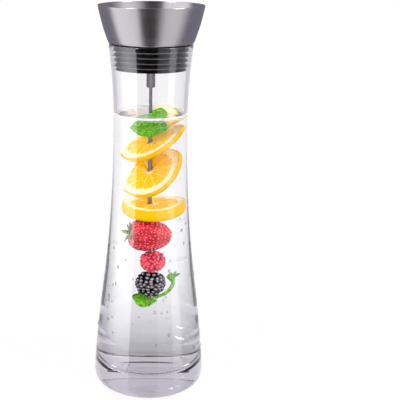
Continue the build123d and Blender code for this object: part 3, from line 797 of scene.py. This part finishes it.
class INFUSER_OT_citrus(bpy.types.Operator):
    """Cut the three orange slices and the wedge that stands out of the water"""

    bl_idname = "infuser.cut_citrus"
    bl_label = "Orange slices and wedge"

    def execute(self, context):
        fruit = context.scene.infuser_fruit
        self.cut_slice(
            fruit, "lower_orange_slice", fruit.lower_radius, fruit.lower_thickness,
            height=156.9 * MM, aside=2.6 * MM, back_up=5.0, right_up=0.4, turn=0.3)
        self.cut_slice(
            fruit, "middle_orange_slice", fruit.middle_radius, fruit.middle_thickness,
            height=187.2 * MM, aside=0.8 * MM, back_up=40.0, right_up=30.0, turn=0.1,
            trim=fruit.middle_trim, trim_bearing=155.0)
        self.cut_slice(
            fruit, "top_orange_slice", fruit.top_radius, fruit.top_thickness,
            height=211.1 * MM, aside=2.0 * MM, back_up=15.0, right_up=29.5, turn=0.55,
            trim=fruit.top_trim, trim_bearing=148.0)
        self.cut_wedge(fruit, turn=0.5)
        return {"FINISHED"}

    def cut_slice(self, fruit, node, radius, thickness, height, aside, back_up, right_up, turn,
                  trim=None, trim_bearing=0.0):
        """A slice on the rod at a height, moved aside, with its back and right edges lifted by degrees.

        The turn places its segments, and a trimmed slice is cut straight towards a bearing."""
        place = (Matrix.Translation((0, 0, height)) @ Matrix.Rotation(radians(back_up), 4, "X")
                 @ Matrix.Rotation(radians(-right_up), 4, "Y") @ Matrix.Translation((aside, 0, 0)))
        bm = bmesh.new()
        citrus_section(bm, radius, thickness).turn_round(fruit.segments * 16)
        press_segments(bm, radius, thickness, fruit.segments, turn)
        if trim:
            trim_slice(bm, trim, trim_bearing)
        bmesh.ops.transform(bm, matrix=place, verts=bm.verts)
        finish = citrus_finish(node + "_finish", place, radius, fruit, turn, fruit.peel)
        make_object("cut_" + node, bm, [finish], "skewer", [node])

    def cut_wedge(self, fruit, turn):
        """A sector of a slice that leans up to the right behind the rod."""
        bearing, slope, half_angle = fruit.wedge_bearing, fruit.wedge_slope, fruit.wedge_half_angle
        reach = fruit.wedge_gap + fruit.wedge_thickness / 2 * sin(slope)
        place = (Matrix.Translation((reach * cos(bearing), reach * sin(bearing), fruit.wedge_height))
                 @ Matrix.Rotation(bearing - pi / 2, 4, "Z") @ Matrix.Rotation(slope, 4, "X"))
        bm = bmesh.new()
        pen = citrus_section(bm, fruit.wedge_radius, fruit.wedge_thickness)
        pen.close()
        bmesh.ops.contextual_create(bm, geom=bm.edges[:])
        first_side = Matrix.Rotation(pi / 2 - half_angle, 3, "Z")
        bmesh.ops.rotate(bm, verts=bm.verts, cent=(0, 0, 0), matrix=first_side)
        bmesh.ops.spin(
            bm, geom=bm.verts[:] + bm.edges[:] + bm.faces[:], cent=(0, 0, 0), axis=(0, 0, 1),
            dvec=(0, 0, 0), angle=2 * half_angle, steps=32, use_duplicate=False)
        bmesh.ops.remove_doubles(bm, verts=bm.verts, dist=TINY)
        bmesh.ops.recalc_face_normals(bm, faces=bm.faces)
        press_segments(bm, fruit.wedge_radius, fruit.wedge_thickness, fruit.segments, turn)
        bmesh.ops.transform(bm, matrix=place, verts=bm.verts)
        finish = citrus_finish(
            "orange_wedge_finish", place, fruit.wedge_radius, fruit, turn, fruit.wedge_peel)
        make_object("cut_orange_wedge", bm, [finish], "skewer", ["orange_wedge"])


def berry_finish(name, base, light, roughness, fuzz, bright):
    """Berry skin with a darker and a lighter tone, and a painted highlight in the bright colour on the side
    of each drupelet that the shine attribute marks.
    """
    material, tree, shader, here = new_finish(name, Specular_IOR_Level=0.25, Roughness=roughness)
    cloud = noise_of(tree, here, 170.0, 2.0)
    fine = noise_of(tree, here, 900.0, 2.0)
    tone = mixed(tree, between(tree, cloud, 0.35, 0.65), rgb(base, 0.7), rgb(light))
    skin = mixed(tree, between(tree, fine, 0.55, 0.8, 0.0, fuzz), tone, rgb(light, 2.2))
    # Painted highlight: the shine attribute mixes in the bright colour on each drupelet's lit side.
    shine = add_node(tree, "Attribute", attribute_name="shine").outputs["Fac"]
    join(tree, mixed(tree, shine, skin, bright), shader, "Base Color")
    join(tree, between(tree, fine, 0.3, 0.7, roughness * 0.7, roughness * 1.4), shader, "Roughness")
    join(tree, bump_of(tree, fine, 0.15, 0.0003), shader, "Normal")
    return material


def seed_finish():
    """Pale pink seeds, some a little darker. Their paleness is partly their own colour and partly a painted
    highlight for their glints.
    """
    material, tree, shader, here = new_finish("strawberry_seed_finish", Roughness=0.4)
    grain = noise_of(tree, here, 1400.0, 1.0)
    join(tree, mixed(tree, grain, (0.90, 0.34, 0.26), (1.0, 0.60, 0.50)), shader, "Base Color")
    return material


def strawberry_place(fruit, back):
    """Place on the leaning strawberry's axis, at a distance behind the rod."""
    on_rod = Matrix.Translation((0, 0, fruit.strawberry_height))
    return on_rod @ Matrix.Rotation(fruit.strawberry_lean, 4, "Y") @ Matrix.Translation((0, 0, -back))


class INFUSER_OT_strawberry(bpy.types.Operator):
    """Shape the strawberry with its pitted seeds"""

    bl_idname = "infuser.shape_strawberry"
    bl_label = "Strawberry"

    def execute(self, context):
        fruit = context.scene.infuser_fruit
        place = strawberry_place(fruit, fruit.strawberry_back)
        long, wide = fruit.strawberry_length, 2 * fruit.strawberry_radius
        bm = bmesh.new()
        back, tip = Vector((0.4 * wide, 0)), Vector((0.14 * wide, long))
        centre, radius = circle_through(back, Vector((wide / 2, 0.38 * long)), tip)
        shoulder, shoulder_meet = corner_round(centre, radius, 0, 0.6 * back.x)
        nose, nose_meet = corner_round(centre, radius, long, -0.8 * tip.x)
        pen = ProfilePen(bm, 0, 0)
        pen.line(shoulder.x / 2, 0)
        pen.line(shoulder.x, 0)
        pen.arc(shoulder, shoulder_meet, steps=16)
        pen.arc(centre, nose_meet, steps=32)
        pen.arc(nose, (nose.x, long), steps=6)
        pen.line(0, long)
        seeds = self.seed_places([vert.co.copy() for vert in bm.verts], fruit.seed_spacing)
        pen.turn_round(160)
        self.press_pits(bm, seeds, fruit)
        body_faces = len(bm.faces)
        for point, normal, along in seeds:
            frame_of_seed = Matrix((along, normal.cross(along), normal)).transposed().to_4x4()
            shape = Matrix.Diagonal((fruit.seed_length, fruit.seed_width, fruit.seed_height, 1))
            spot = Matrix.Translation(point - normal * fruit.seed_sink)
            bmesh.ops.create_icosphere(bm, subdivisions=1, radius=1, matrix=spot @ frame_of_seed @ shape)
        bm.faces.ensure_lookup_table()
        for face in bm.faces[body_faces:]:
            face.material_index = 1
        bmesh.ops.transform(bm, matrix=place, verts=bm.verts)
        # bright is the colour of a painted highlight. The strawberry doesn't show it, as its mesh has no
        # shine attribute.
        skin = berry_finish(
            "strawberry_finish", fruit.strawberry, light=(0.84, 0.045, 0.075), roughness=0.25, fuzz=0.25,
            bright=(1, 1, 1))
        make_object("ripe_strawberry", bm, [skin, seed_finish()], "skewer", ["strawberry"])
        return {"FINISHED"}

    def seed_places(self, profile, spacing):
        """Seeds in staggered rows along the profile: point, outward normal and the way to the tip."""
        seeds, walked, row, chance = [], 0.0, 0, Random(7)
        for before, after in zip(profile, profile[1:]):
            run = after - before
            walked += run.length
            if walked < spacing * 0.87 or before.x < 1.5 * MM:
                continue
            walked, row = 0.0, row + 1
            count = max(3, round(2 * pi * before.x / spacing))
            along = run.normalized()
            outward = Vector((along.z, 0, -along.x))
            for index in range(count):
                around = 2 * pi * (index + 0.5 * (row % 2) + 0.5 * chance.random()) / count
                spin = Matrix.Rotation(around, 3, "Z")
                point = before + along * spacing * (0.5 * chance.random() - 0.25)
                seeds.append((spin @ point, spin @ outward, spin @ along))
        return seeds

    def press_pits(self, bm, seeds, fruit):
        """Presses a pit into the skin round each seed."""
        tree = kdtree.KDTree(len(seeds))
        for index, (point, _, _) in enumerate(seeds):
            tree.insert(point, index)
        tree.balance()
        for vert in bm.verts:
            _, index, distance = tree.find(vert.co)
            vert.co -= seeds[index][1] * fruit.pit_depth * exp(-(distance / fruit.pit_radius) ** 2)


class INFUSER_OT_berries(bpy.types.Operator):
    """Build the raspberry and the dark bramble berry from their drupelets"""

    bl_idname = "infuser.build_berries"
    bl_label = "Raspberry and bramble"

    def execute(self, context):
        fruit = context.scene.infuser_fruit
        # bright is the colour of each berry's painted highlight on its drupelets.
        red = berry_finish(
            "raspberry_finish", fruit.raspberry, light=(0.80, 0.06, 0.11), roughness=0.3, fuzz=0.4,
            bright=(0.95, 0.20, 0.26))
        dark = berry_finish(
            "bramble_finish", fruit.bramble, light=(0.016, 0.006, 0.012), roughness=0.2, fuzz=0.05,
            bright=(0.42, 0.41, 0.45))
        self.cluster("raspberry_cluster", "raspberry", fruit.raspberry_bead, Random(3), red, "red_berry")
        self.cluster("bramble_cluster", "bramble_berry", fruit.bramble_bead, Random(5), dark, "dark_berry")
        return {"FINISHED"}

    def cluster(self, name, node, size, chance, finish, slot):
        """Rows of drupelets on a barrel that fills the berry's box."""
        low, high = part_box(node)
        middle = (low + high) / 2
        radius = (high.x - low.x) / 2
        half = (high.z - low.z) / 2
        bm = bmesh.new()
        painted_highlight_layer = bm.verts.layers.float.new("shine")
        core = Matrix.Translation((middle.x, 0, middle.z)) @ Matrix.Diagonal(
            (radius - size, radius - size, half - size, 1))
        bmesh.ops.create_uvsphere(bm, u_segments=24, v_segments=16, radius=1, matrix=core)
        row_spacing, bead_spacing = 1.62 * size, 1.84 * size
        rows = ceil(2 * half / row_spacing)
        for row in range(rows):
            lift = -1 + 2 * (row + 0.5) / rows
            ring = (radius - 0.8 * size) * (1 - abs(lift) ** 2.6) ** 0.5
            height = middle.z + lift * (half - 0.55 * size)
            count = max(1, round(2 * pi * ring / bead_spacing))
            for index in range(count):
                bearing = 2 * pi * (index + 0.5 * (row % 2) + 0.4 * chance.random()) / count
                spot = Vector((middle.x + ring * cos(bearing), ring * sin(bearing),
                               height + 0.7 * size * (chance.random() - 0.5)))
                bead = size * (0.88 + 0.22 * chance.random())
                outward = Matrix.Rotation(bearing, 4, "Z")
                # Painted highlight: shine is 1 where a drupelet faces up and outwards, the side that would
                # catch the light.
                painted_highlight_way = outward @ Vector((0.8, 0.2 - 0.4 * chance.random(), 0.6)).normalized()
                made = bmesh.ops.create_icosphere(
                    bm, subdivisions=2, radius=bead,
                    matrix=Matrix.Translation(spot) @ outward @ Matrix.Diagonal((0.95, 1.0, 0.96, 1)))
                for vert in made["verts"]:
                    facing = (vert.co - spot).normalized().dot(painted_highlight_way)
                    vert[painted_highlight_layer] = min(1.0, max(0.0, (facing - 0.70) / 0.25))
        make_object(name, bm, [finish], "skewer", [node])


def leaf_finish(name, base):
    """Mint leaf: paler veins, a mottled blade and a soft sheen."""
    material, tree, shader, here = new_finish(name, Specular_IOR_Level=0.12)
    cloud = noise_of(tree, here, 220.0, 3.0)
    fine = noise_of(tree, here, 1500.0, 2.0)
    vein = add_node(tree, "Attribute", attribute_name="vein").outputs["Fac"]
    speckle = between(tree, noise_of(tree, here, 800.0, 3.0, 0.6), 0.42, 0.60)
    blade = mixed(tree, between(tree, cloud, 0.35, 0.65),
                  mixed(tree, speckle, rgb(base, 0.40), rgb(base, 1.4)),
                  mixed(tree, speckle, rgb(base, 0.7), rgb(base, 1.9)))
    pale = tuple(0.5 * value + 0.5 * extra for value, extra in zip(rgb(base, 1.3), (0.24, 0.42, 0.12)))
    join(tree, mixed(tree, maths(tree, "MULTIPLY", vein, 0.6), blade, pale), shader, "Base Color")
    join(tree, between(tree, fine, 0.3, 0.7, 0.38, 0.62), shader, "Roughness")
    join(tree, bump_of(tree, fine, 0.2, 0.0003), shader, "Normal")
    return material


def add_leaf(bm, long, wide, curl, place, teeth=9, along=False, thickness=0.55 * MM):
    """Adds a toothed leaf along X, cupped upwards across its width or along its length, with its veins."""
    side_veins, vein_slant = 5.0, 0.42
    mid_width, side_width = 0.45 * MM, 0.35 * MM
    puff, sink = 0.55 * MM, 0.25 * MM
    vein_layer = bm.verts.layers.float.get("vein") or bm.verts.layers.float.new("vein")
    grid = bmesh.ops.create_grid(bm, x_segments=48, y_segments=20, size=1)["verts"]
    for vert in grid:
        u, v = vert.co.x, vert.co.y
        tooth = (u * teeth) % 1.0
        outline = (1 - u * u) * (1 - 0.16 * u)
        half = wide / 2 * outline * (1 + 0.15 * tooth * abs(v) ** 3)
        side_vein = (u - vein_slant * abs(v)) * side_veins
        beside = abs(side_vein - round(side_vein)) / side_veins * long
        mid = exp(-(v * half / mid_width) ** 2)
        vein = max(mid, exp(-(beside / side_width) ** 2) * (1 - 0.4 * abs(v)))
        x, y = u * long / 2, v * half
        bent = x if along else y
        lift = curl - sqrt(curl ** 2 - min(abs(bent), 0.95 * curl) ** 2)
        relief = (puff * (1 - vein) - sink) * min(1.0, outline * 2)
        vert.co = (x, y, lift + thickness + relief)
        vert[vein_layer] = vein
    bmesh.ops.remove_doubles(bm, verts=grid, dist=TINY)
    grid = [vert for vert in grid if vert.is_valid]
    faces = list({face for vert in grid for face in vert.link_faces})
    bmesh.ops.recalc_face_normals(bm, faces=faces)
    made = bmesh.ops.solidify(bm, geom=faces, thickness=thickness)["geom"]
    new_faces = [part for part in made if isinstance(part, bmesh.types.BMFace)]
    verts = set(grid) | {vert for face in new_faces for vert in face.verts}
    bmesh.ops.transform(bm, matrix=place, verts=list(verts))


def turned_place(x, y, z, about_x, about_y):
    """A place in millimetres, with turns about X and then the turned Y in degrees."""
    return (Matrix.Translation((x * MM, y * MM, z * MM)) @ Matrix.Rotation(radians(about_x), 4, "X")
            @ Matrix.Rotation(radians(about_y), 4, "Y"))


class INFUSER_OT_mint(bpy.types.Operator):
    """Grow the mint leaves, the mint tip, the sprig and the strawberry's calyx"""

    bl_idname = "infuser.grow_mint"
    bl_label = "Mint and calyx"

    def execute(self, context):
        fruit = context.scene.infuser_fruit
        upper = leaf_finish("upper_mint_finish", fruit.mint)
        bright = leaf_finish("lower_mint_finish", rgb(fruit.mint, 1.1))
        dull = leaf_finish("calyx_finish", (0.16, 0.20, 0.04))
        self.grow_leaf(
            "upper_leaf", "upper_mint_leaf", upper, long=26 * MM, wide=17 * MM, curl=17 * MM,
            place=turned_place(0, -3.7, 225.2, about_x=58, about_y=-6))
        tip_height, tip_bearing, tip_reach = 235.0 * MM, radians(-42), 8.4 * MM
        beside_rod = (Matrix.Translation((0, 0, tip_height)) @ Matrix.Rotation(tip_bearing, 4, "Z")
                      @ Matrix.Translation((tip_reach, 0, 0)))
        self.grow_leaf(
            "upper_tip", "upper_mint_tip", bright, long=20 * MM, wide=12 * MM, curl=12 * MM,
            place=beside_rod @ turned_place(0, 0, 0, about_x=22, about_y=-2), teeth=6)
        self.grow_leaf(
            "lower_leaf", "lower_mint_leaf", bright, long=18 * MM, wide=12.5 * MM, curl=12 * MM,
            place=turned_place(-4.5, -2, 74.7, about_x=36, about_y=20), teeth=7, along=True)
        self.grow_sprig(bright)
        self.grow_calyx(fruit, dull)
        return {"FINISHED"}

    def grow_leaf(self, name, node, finish, **shape):
        """One leaf that is a piece of its own."""
        bm = bmesh.new()
        add_leaf(bm, **shape)
        make_object(name, bm, [finish], "skewer", [node])

    def grow_sprig(self, finish):
        """A bent stalk with a bud of small leaves at its end."""
        start, end = Vector((2.28, 77.8)) * MM, Vector((15.1, 93.7)) * MM
        stalk_radius, bud_width, bud_curl = 1.3 * MM, 7.5 * MM, 7 * MM
        centre = tangent_centre(start, end, Vector((-0.1, 1)).normalized())
        sweep = (end - centre).angle_signed(start - centre)
        bm = bmesh.new()
        bm.verts.layers.float.new("vein")
        across = Matrix.Translation((start.x, 0, start.y)) @ Matrix.Rotation(pi / 2, 4, "Y")
        bmesh.ops.create_circle(bm, cap_ends=True, segments=16, radius=stalk_radius, matrix=across)
        bmesh.ops.spin(
            bm, geom=bm.verts[:] + bm.edges[:] + bm.faces[:], cent=(centre.x, 0, centre.y), axis=(0, -1, 0),
            dvec=(0, 0, 0), angle=sweep, steps=14, use_duplicate=False)
        bmesh.ops.recalc_face_normals(bm, faces=bm.faces)
        bud = Matrix.Translation((end.x, 0, end.y))
        for lean, turn, size in ((-70, 0, 10.5), (-95, 35, 9.0), (-45, -30, 9.0)):
            place = (bud @ Matrix.Rotation(radians(lean), 4, "Y") @ Matrix.Rotation(radians(turn), 4, "X")
                     @ Matrix.Translation((size / 4 * MM, 0, 0)))
            add_leaf(bm, size * MM, bud_width, bud_curl, place, teeth=5, thickness=0.45 * MM)
        make_object("mint_sprig", bm, [finish], "skewer", ["lower_mint_sprig"])

    def grow_calyx(self, fruit, finish):
        """Narrow leaves in a star on the strawberry's back."""
        place = strawberry_place(fruit, fruit.calyx_back)
        outwards = Matrix.Translation((4.6 * MM, 0, 0))
        bm = bmesh.new()
        for index in range(fruit.calyx_leaves):
            around = Matrix.Rotation(2 * pi * index / fruit.calyx_leaves, 4, "Z")
            lean = Matrix.Rotation(radians(-12 + 16 * (index % 3)), 4, "Y")
            add_leaf(
                bm, long=10.5 * MM, wide=3.4 * MM, curl=20 * MM, place=place @ around @ lean @ outwards,
                teeth=0, thickness=0.45 * MM)
        make_object("strawberry_leaves", bm, [finish], "skewer", ["strawberry_calyx"])


class INFUSER_OT_stage(bpy.types.Operator):
    """Set up the white studio, its soft lamps and the camera"""

    bl_idname = "infuser.set_stage"
    bl_label = "Studio and camera"

    def execute(self, context):
        stage = context.scene.infuser_stage
        context.scene.view_settings.view_transform = "Standard"
        self.lay_floor(stage)
        self.light_room(context.scene, stage)
        self.hang_lamps(stage)
        self.place_camera(context.scene, stage)
        return {"FINISHED"}

    def lay_floor(self, stage):
        """A wide white table top that keeps a soft shadow, has a painted shadow round the carafe that shows
        only through the glass, and isn't mirrored.
        """
        bm = bmesh.new()
        just_under = Matrix.Translation((0, 0, -0.3 * MM))
        bmesh.ops.create_grid(bm, x_segments=1, y_segments=1, size=4, matrix=just_under)
        mesh = bpy.data.meshes.new("table_top")
        bm.to_mesh(mesh)
        bm.free()
        table = bpy.data.objects.new("table_top", mesh)
        bpy.context.scene.collection.objects.link(table)
        material, tree, shader, here = new_finish("table_finish", Roughness=0.9)
        join(tree, mixed(tree, noise_of(tree, here, 6.0), (0.90, 0.90, 0.90), (0.94, 0.94, 0.94)),
             shader, "Base Color")
        path = add_node(tree, "LightPath").outputs
        # Painted shadow: for rays other than the camera's, the table top round the carafe fades to a dim
        # lavender grey.
        away = add_node(tree, "VectorMath", [here], operation="LENGTH").outputs[1]
        squared = maths(tree, "POWER", maths(tree, "DIVIDE", away, stage.painted_shadow_radius), 2.0)
        nearness = maths(tree, "EXPONENT", maths(tree, "MULTIPLY", squared, -1.0))
        painted_shadow_share = maths(tree, "MULTIPLY", nearness, maths(tree, "SUBTRACT", 1.0, path["Is Camera Ray"]))
        white, dim = (1.0, 1.0, 1.0), (0.18, 0.17, 0.24)
        glow_colour = mixed(tree, painted_shadow_share, white, dim)
        matt = maths(tree, "GREATER_THAN", path["Diffuse Depth"], 0.5)
        strength = between(tree, matt, 0.0, 1.0, 1.0, 1.9)
        glow = add_node(tree, "Emission", {"Color": glow_colour, "Strength": strength}).outputs[0]
        seen_share = between(tree, away, 0.25, 0.7, 0.93, 1.0)
        share = maths(tree, "MAXIMUM", maths(tree, "MULTIPLY", path["Is Camera Ray"], seen_share), 0.8)
        shaded = add_node(tree, "MixShader", [share, shader.outputs[0], glow]).outputs[0]
        mirrored = maths(tree, "GREATER_THAN", path["Glossy Depth"], 0.5)
        unseen = maths(tree, "MULTIPLY", mirrored, maths(tree, "SUBTRACT", 1.0, matt))
        gone = add_node(tree, "BsdfTransparent").outputs[0]
        shaded = add_node(tree, "MixShader", [unseen, shaded, gone]).outputs[0]
        tree.links.new(shaded, tree.nodes["Material Output"].inputs["Surface"])
        mesh.materials.append(material)
        table.visible_glossy = False

    def light_room(self, scene, stage):
        """White all round, with two tall softboxes and dark flags that only show as reflections."""
        world = bpy.data.worlds.new("white_studio")
        scene.world = world
        world.use_nodes = True
        tree = world.node_tree
        way = add_node(tree, "SeparateXYZ", [add_node(tree, "TexCoord").outputs["Generated"]]).outputs
        front = maths(tree, "MULTIPLY", way[1], -1.0)
        bearing = maths(tree, "DEGREES", maths(tree, "ARCTAN2", way[0], front))
        slope = maths(tree, "DEGREES", maths(tree, "ARCSINE", way[2]))

        def band(rise, fall, power):
            """A softbox that comes up between two bearings and fades between two others."""
            come = between(tree, bearing, *rise, 0.0, power)
            go = between(tree, bearing, *fall, 1.0, 0.0)
            return maths(tree, "MULTIPLY", come, go)

        def studio(left, right, front, side, turned):
            """What mirrors show: two softboxes, a dark front and grey flags that are full at a bearing."""
            boxes = maths(tree, "ADD", left, right)
            flags = mixed(tree, between(tree, maths(tree, "ABSOLUTE", bearing), 15.0, turned), front, side)
            box_colour = add_node(tree, "CombineXYZ", [boxes, boxes, boxes]).outputs[0]
            return add_node(tree, "VectorMath", [flags, box_colour], operation="ADD").outputs[0]

        path = add_node(tree, "LightPath").outputs
        depth = path["Transmission Depth"]
        outside = maths(tree, "LESS_THAN", depth, 0.5)
        inside = maths(tree, "GREATER_THAN", depth, 3.5)
        power = maths(tree, "MULTIPLY", between(tree, outside, 0.0, 1.0, 1.2, 5.0),
                      between(tree, slope, -25.0, -17.0, 0.25, 1.0))
        left_box = band((-118, -62), (-44, -40), power)
        weak_box = band((17, 22), (52, 56), maths(tree, "MULTIPLY", power, 0.2))
        strong_box = band((52, 56), (70, 82), maths(tree, "MULTIPLY", power, 0.62))
        right_box = maths(tree, "ADD", weak_box, strong_box)
        by_wall = studio(
            left_box, right_box, front=(0.02, 0.018, 0.02), side=(0.55, 0.53, 0.60), turned=80.0)
        behind = between(tree, maths(tree, "ABSOLUTE", bearing), 95.0, 135.0)
        by_wall = mixed(tree, maths(tree, "MULTIPLY", behind, outside), by_wall, (0.95, 0.93, 1.0))
        by_water = mixed(tree, between(tree, maths(tree, "ABSOLUTE", bearing), 15.0, 50.0),
                         (0.90, 0.88, 0.92), (0.52, 0.50, 0.57))
        by_glass = mixed(tree, inside, by_wall, by_water)
        by_steel = studio(band((-108, -88), (-31, -26), 0.92), band((8, 38), (60, 104), 0.72),
                          front=(0.06, 0.055, 0.058), side=(0.24, 0.23, 0.29), turned=120.0)
        mirror = mixed(tree, path["Is Singular Ray"], by_steel, by_glass)
        through = path["Is Transmission Ray"]
        once_matt = maths(tree, "GREATER_THAN", path["Diffuse Depth"], 0.5)
        once_mirrored = maths(tree, "GREATER_THAN", path["Glossy Depth"], 0.5)
        seen = mixed(tree, once_mirrored, (1.0, 1.0, 1.0), mirror)
        lighting = mixed(tree, through, (stage.room_light,) * 3, (stage.inside_light,) * 3)
        shown = mixed(tree, once_matt, seen, lighting)
        tree.links.new(shown, tree.nodes["Background"].inputs["Color"])

    def hang_lamps(self, stage):
        """Two large soft lamps above the table, one on each side."""
        for name, spot in (("left_lamp", (-0.7, -0.55, 1.05)), ("right_lamp", (0.8, -0.35, 0.95))):
            light = bpy.data.lights.new(name, "AREA")
            light.energy = stage.lamp_power
            light.shape = "SQUARE"
            light.size = stage.lamp_size
            lamp = bpy.data.objects.new(name, light)
            lamp.location = spot
            aim = Vector((0, 0, stage.aim_height)) - Vector(spot)
            lamp.rotation_euler = aim.to_track_quat("-Z", "Y").to_euler()
            bpy.context.scene.collection.objects.link(lamp)

    def place_camera(self, scene, stage):
        """The photograph's viewpoint, with the carafe left of the middle."""
        data = bpy.data.cameras.new("camera")
        data.sensor_width = 36
        data.lens = stage.lens
        data.shift_x = stage.shift
        camera = bpy.data.objects.new("camera", data)
        camera.matrix_world = (
            Matrix.Translation((0, -stage.camera_distance, stage.camera_height))
            @ Matrix.Rotation(pi / 2 - stage.camera_pitch, 4, "X")
            @ Matrix.Rotation(stage.camera_roll, 4, "Z"))
        scene.collection.objects.link(camera)
        scene.camera = camera


OPERATORS = (
    INFUSER_OT_glass, INFUSER_OT_water, INFUSER_OT_droplets,
    INFUSER_OT_funnel, INFUSER_OT_seal, INFUSER_OT_lid,
    INFUSER_OT_citrus, INFUSER_OT_strawberry, INFUSER_OT_berries, INFUSER_OT_mint,
    INFUSER_OT_stage,
)
SETTINGS = {
    "infuser_carafe": CarafeSettings, "infuser_lid": LidSettings,
    "infuser_fruit": FruitSettings, "infuser_stage": StageSettings,
}


class INFUSER_PT_panel(bpy.types.Panel):
    """Lists the pitcher's pieces and its studio in the sidebar"""

    bl_idname = "INFUSER_PT_panel"
    bl_label = "Fruit infuser pitcher"
    bl_space_type = "VIEW_3D"
    bl_region_type = "UI"
    bl_category = "Infuser"

    def draw(self, context):
        for operator in OPERATORS:
            self.layout.operator(operator.bl_idname)
        for name, settings in SETTINGS.items():
            box = self.layout.box()
            for key in settings.__annotations__:
                box.prop(getattr(context.scene, name), key)


def register():
    for settings in SETTINGS.values():
        bpy.utils.register_class(settings)
    for name, settings in SETTINGS.items():
        setattr(bpy.types.Scene, name, PointerProperty(type=settings))
    for operator in OPERATORS:
        bpy.utils.register_class(operator)
    bpy.utils.register_class(INFUSER_PT_panel)


def unregister():
    bpy.utils.unregister_class(INFUSER_PT_panel)
    for operator in reversed(OPERATORS):
        bpy.utils.unregister_class(operator)
    for name, settings in SETTINGS.items():
        delattr(bpy.types.Scene, name)
        bpy.utils.unregister_class(settings)


def main():
    """Registers the add-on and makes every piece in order."""
    register()
    for operator in OPERATORS:
        group, name = operator.bl_idname.split(".")
        getattr(getattr(bpy.ops, group), name)()


if __name__ == "__main__":
    main()
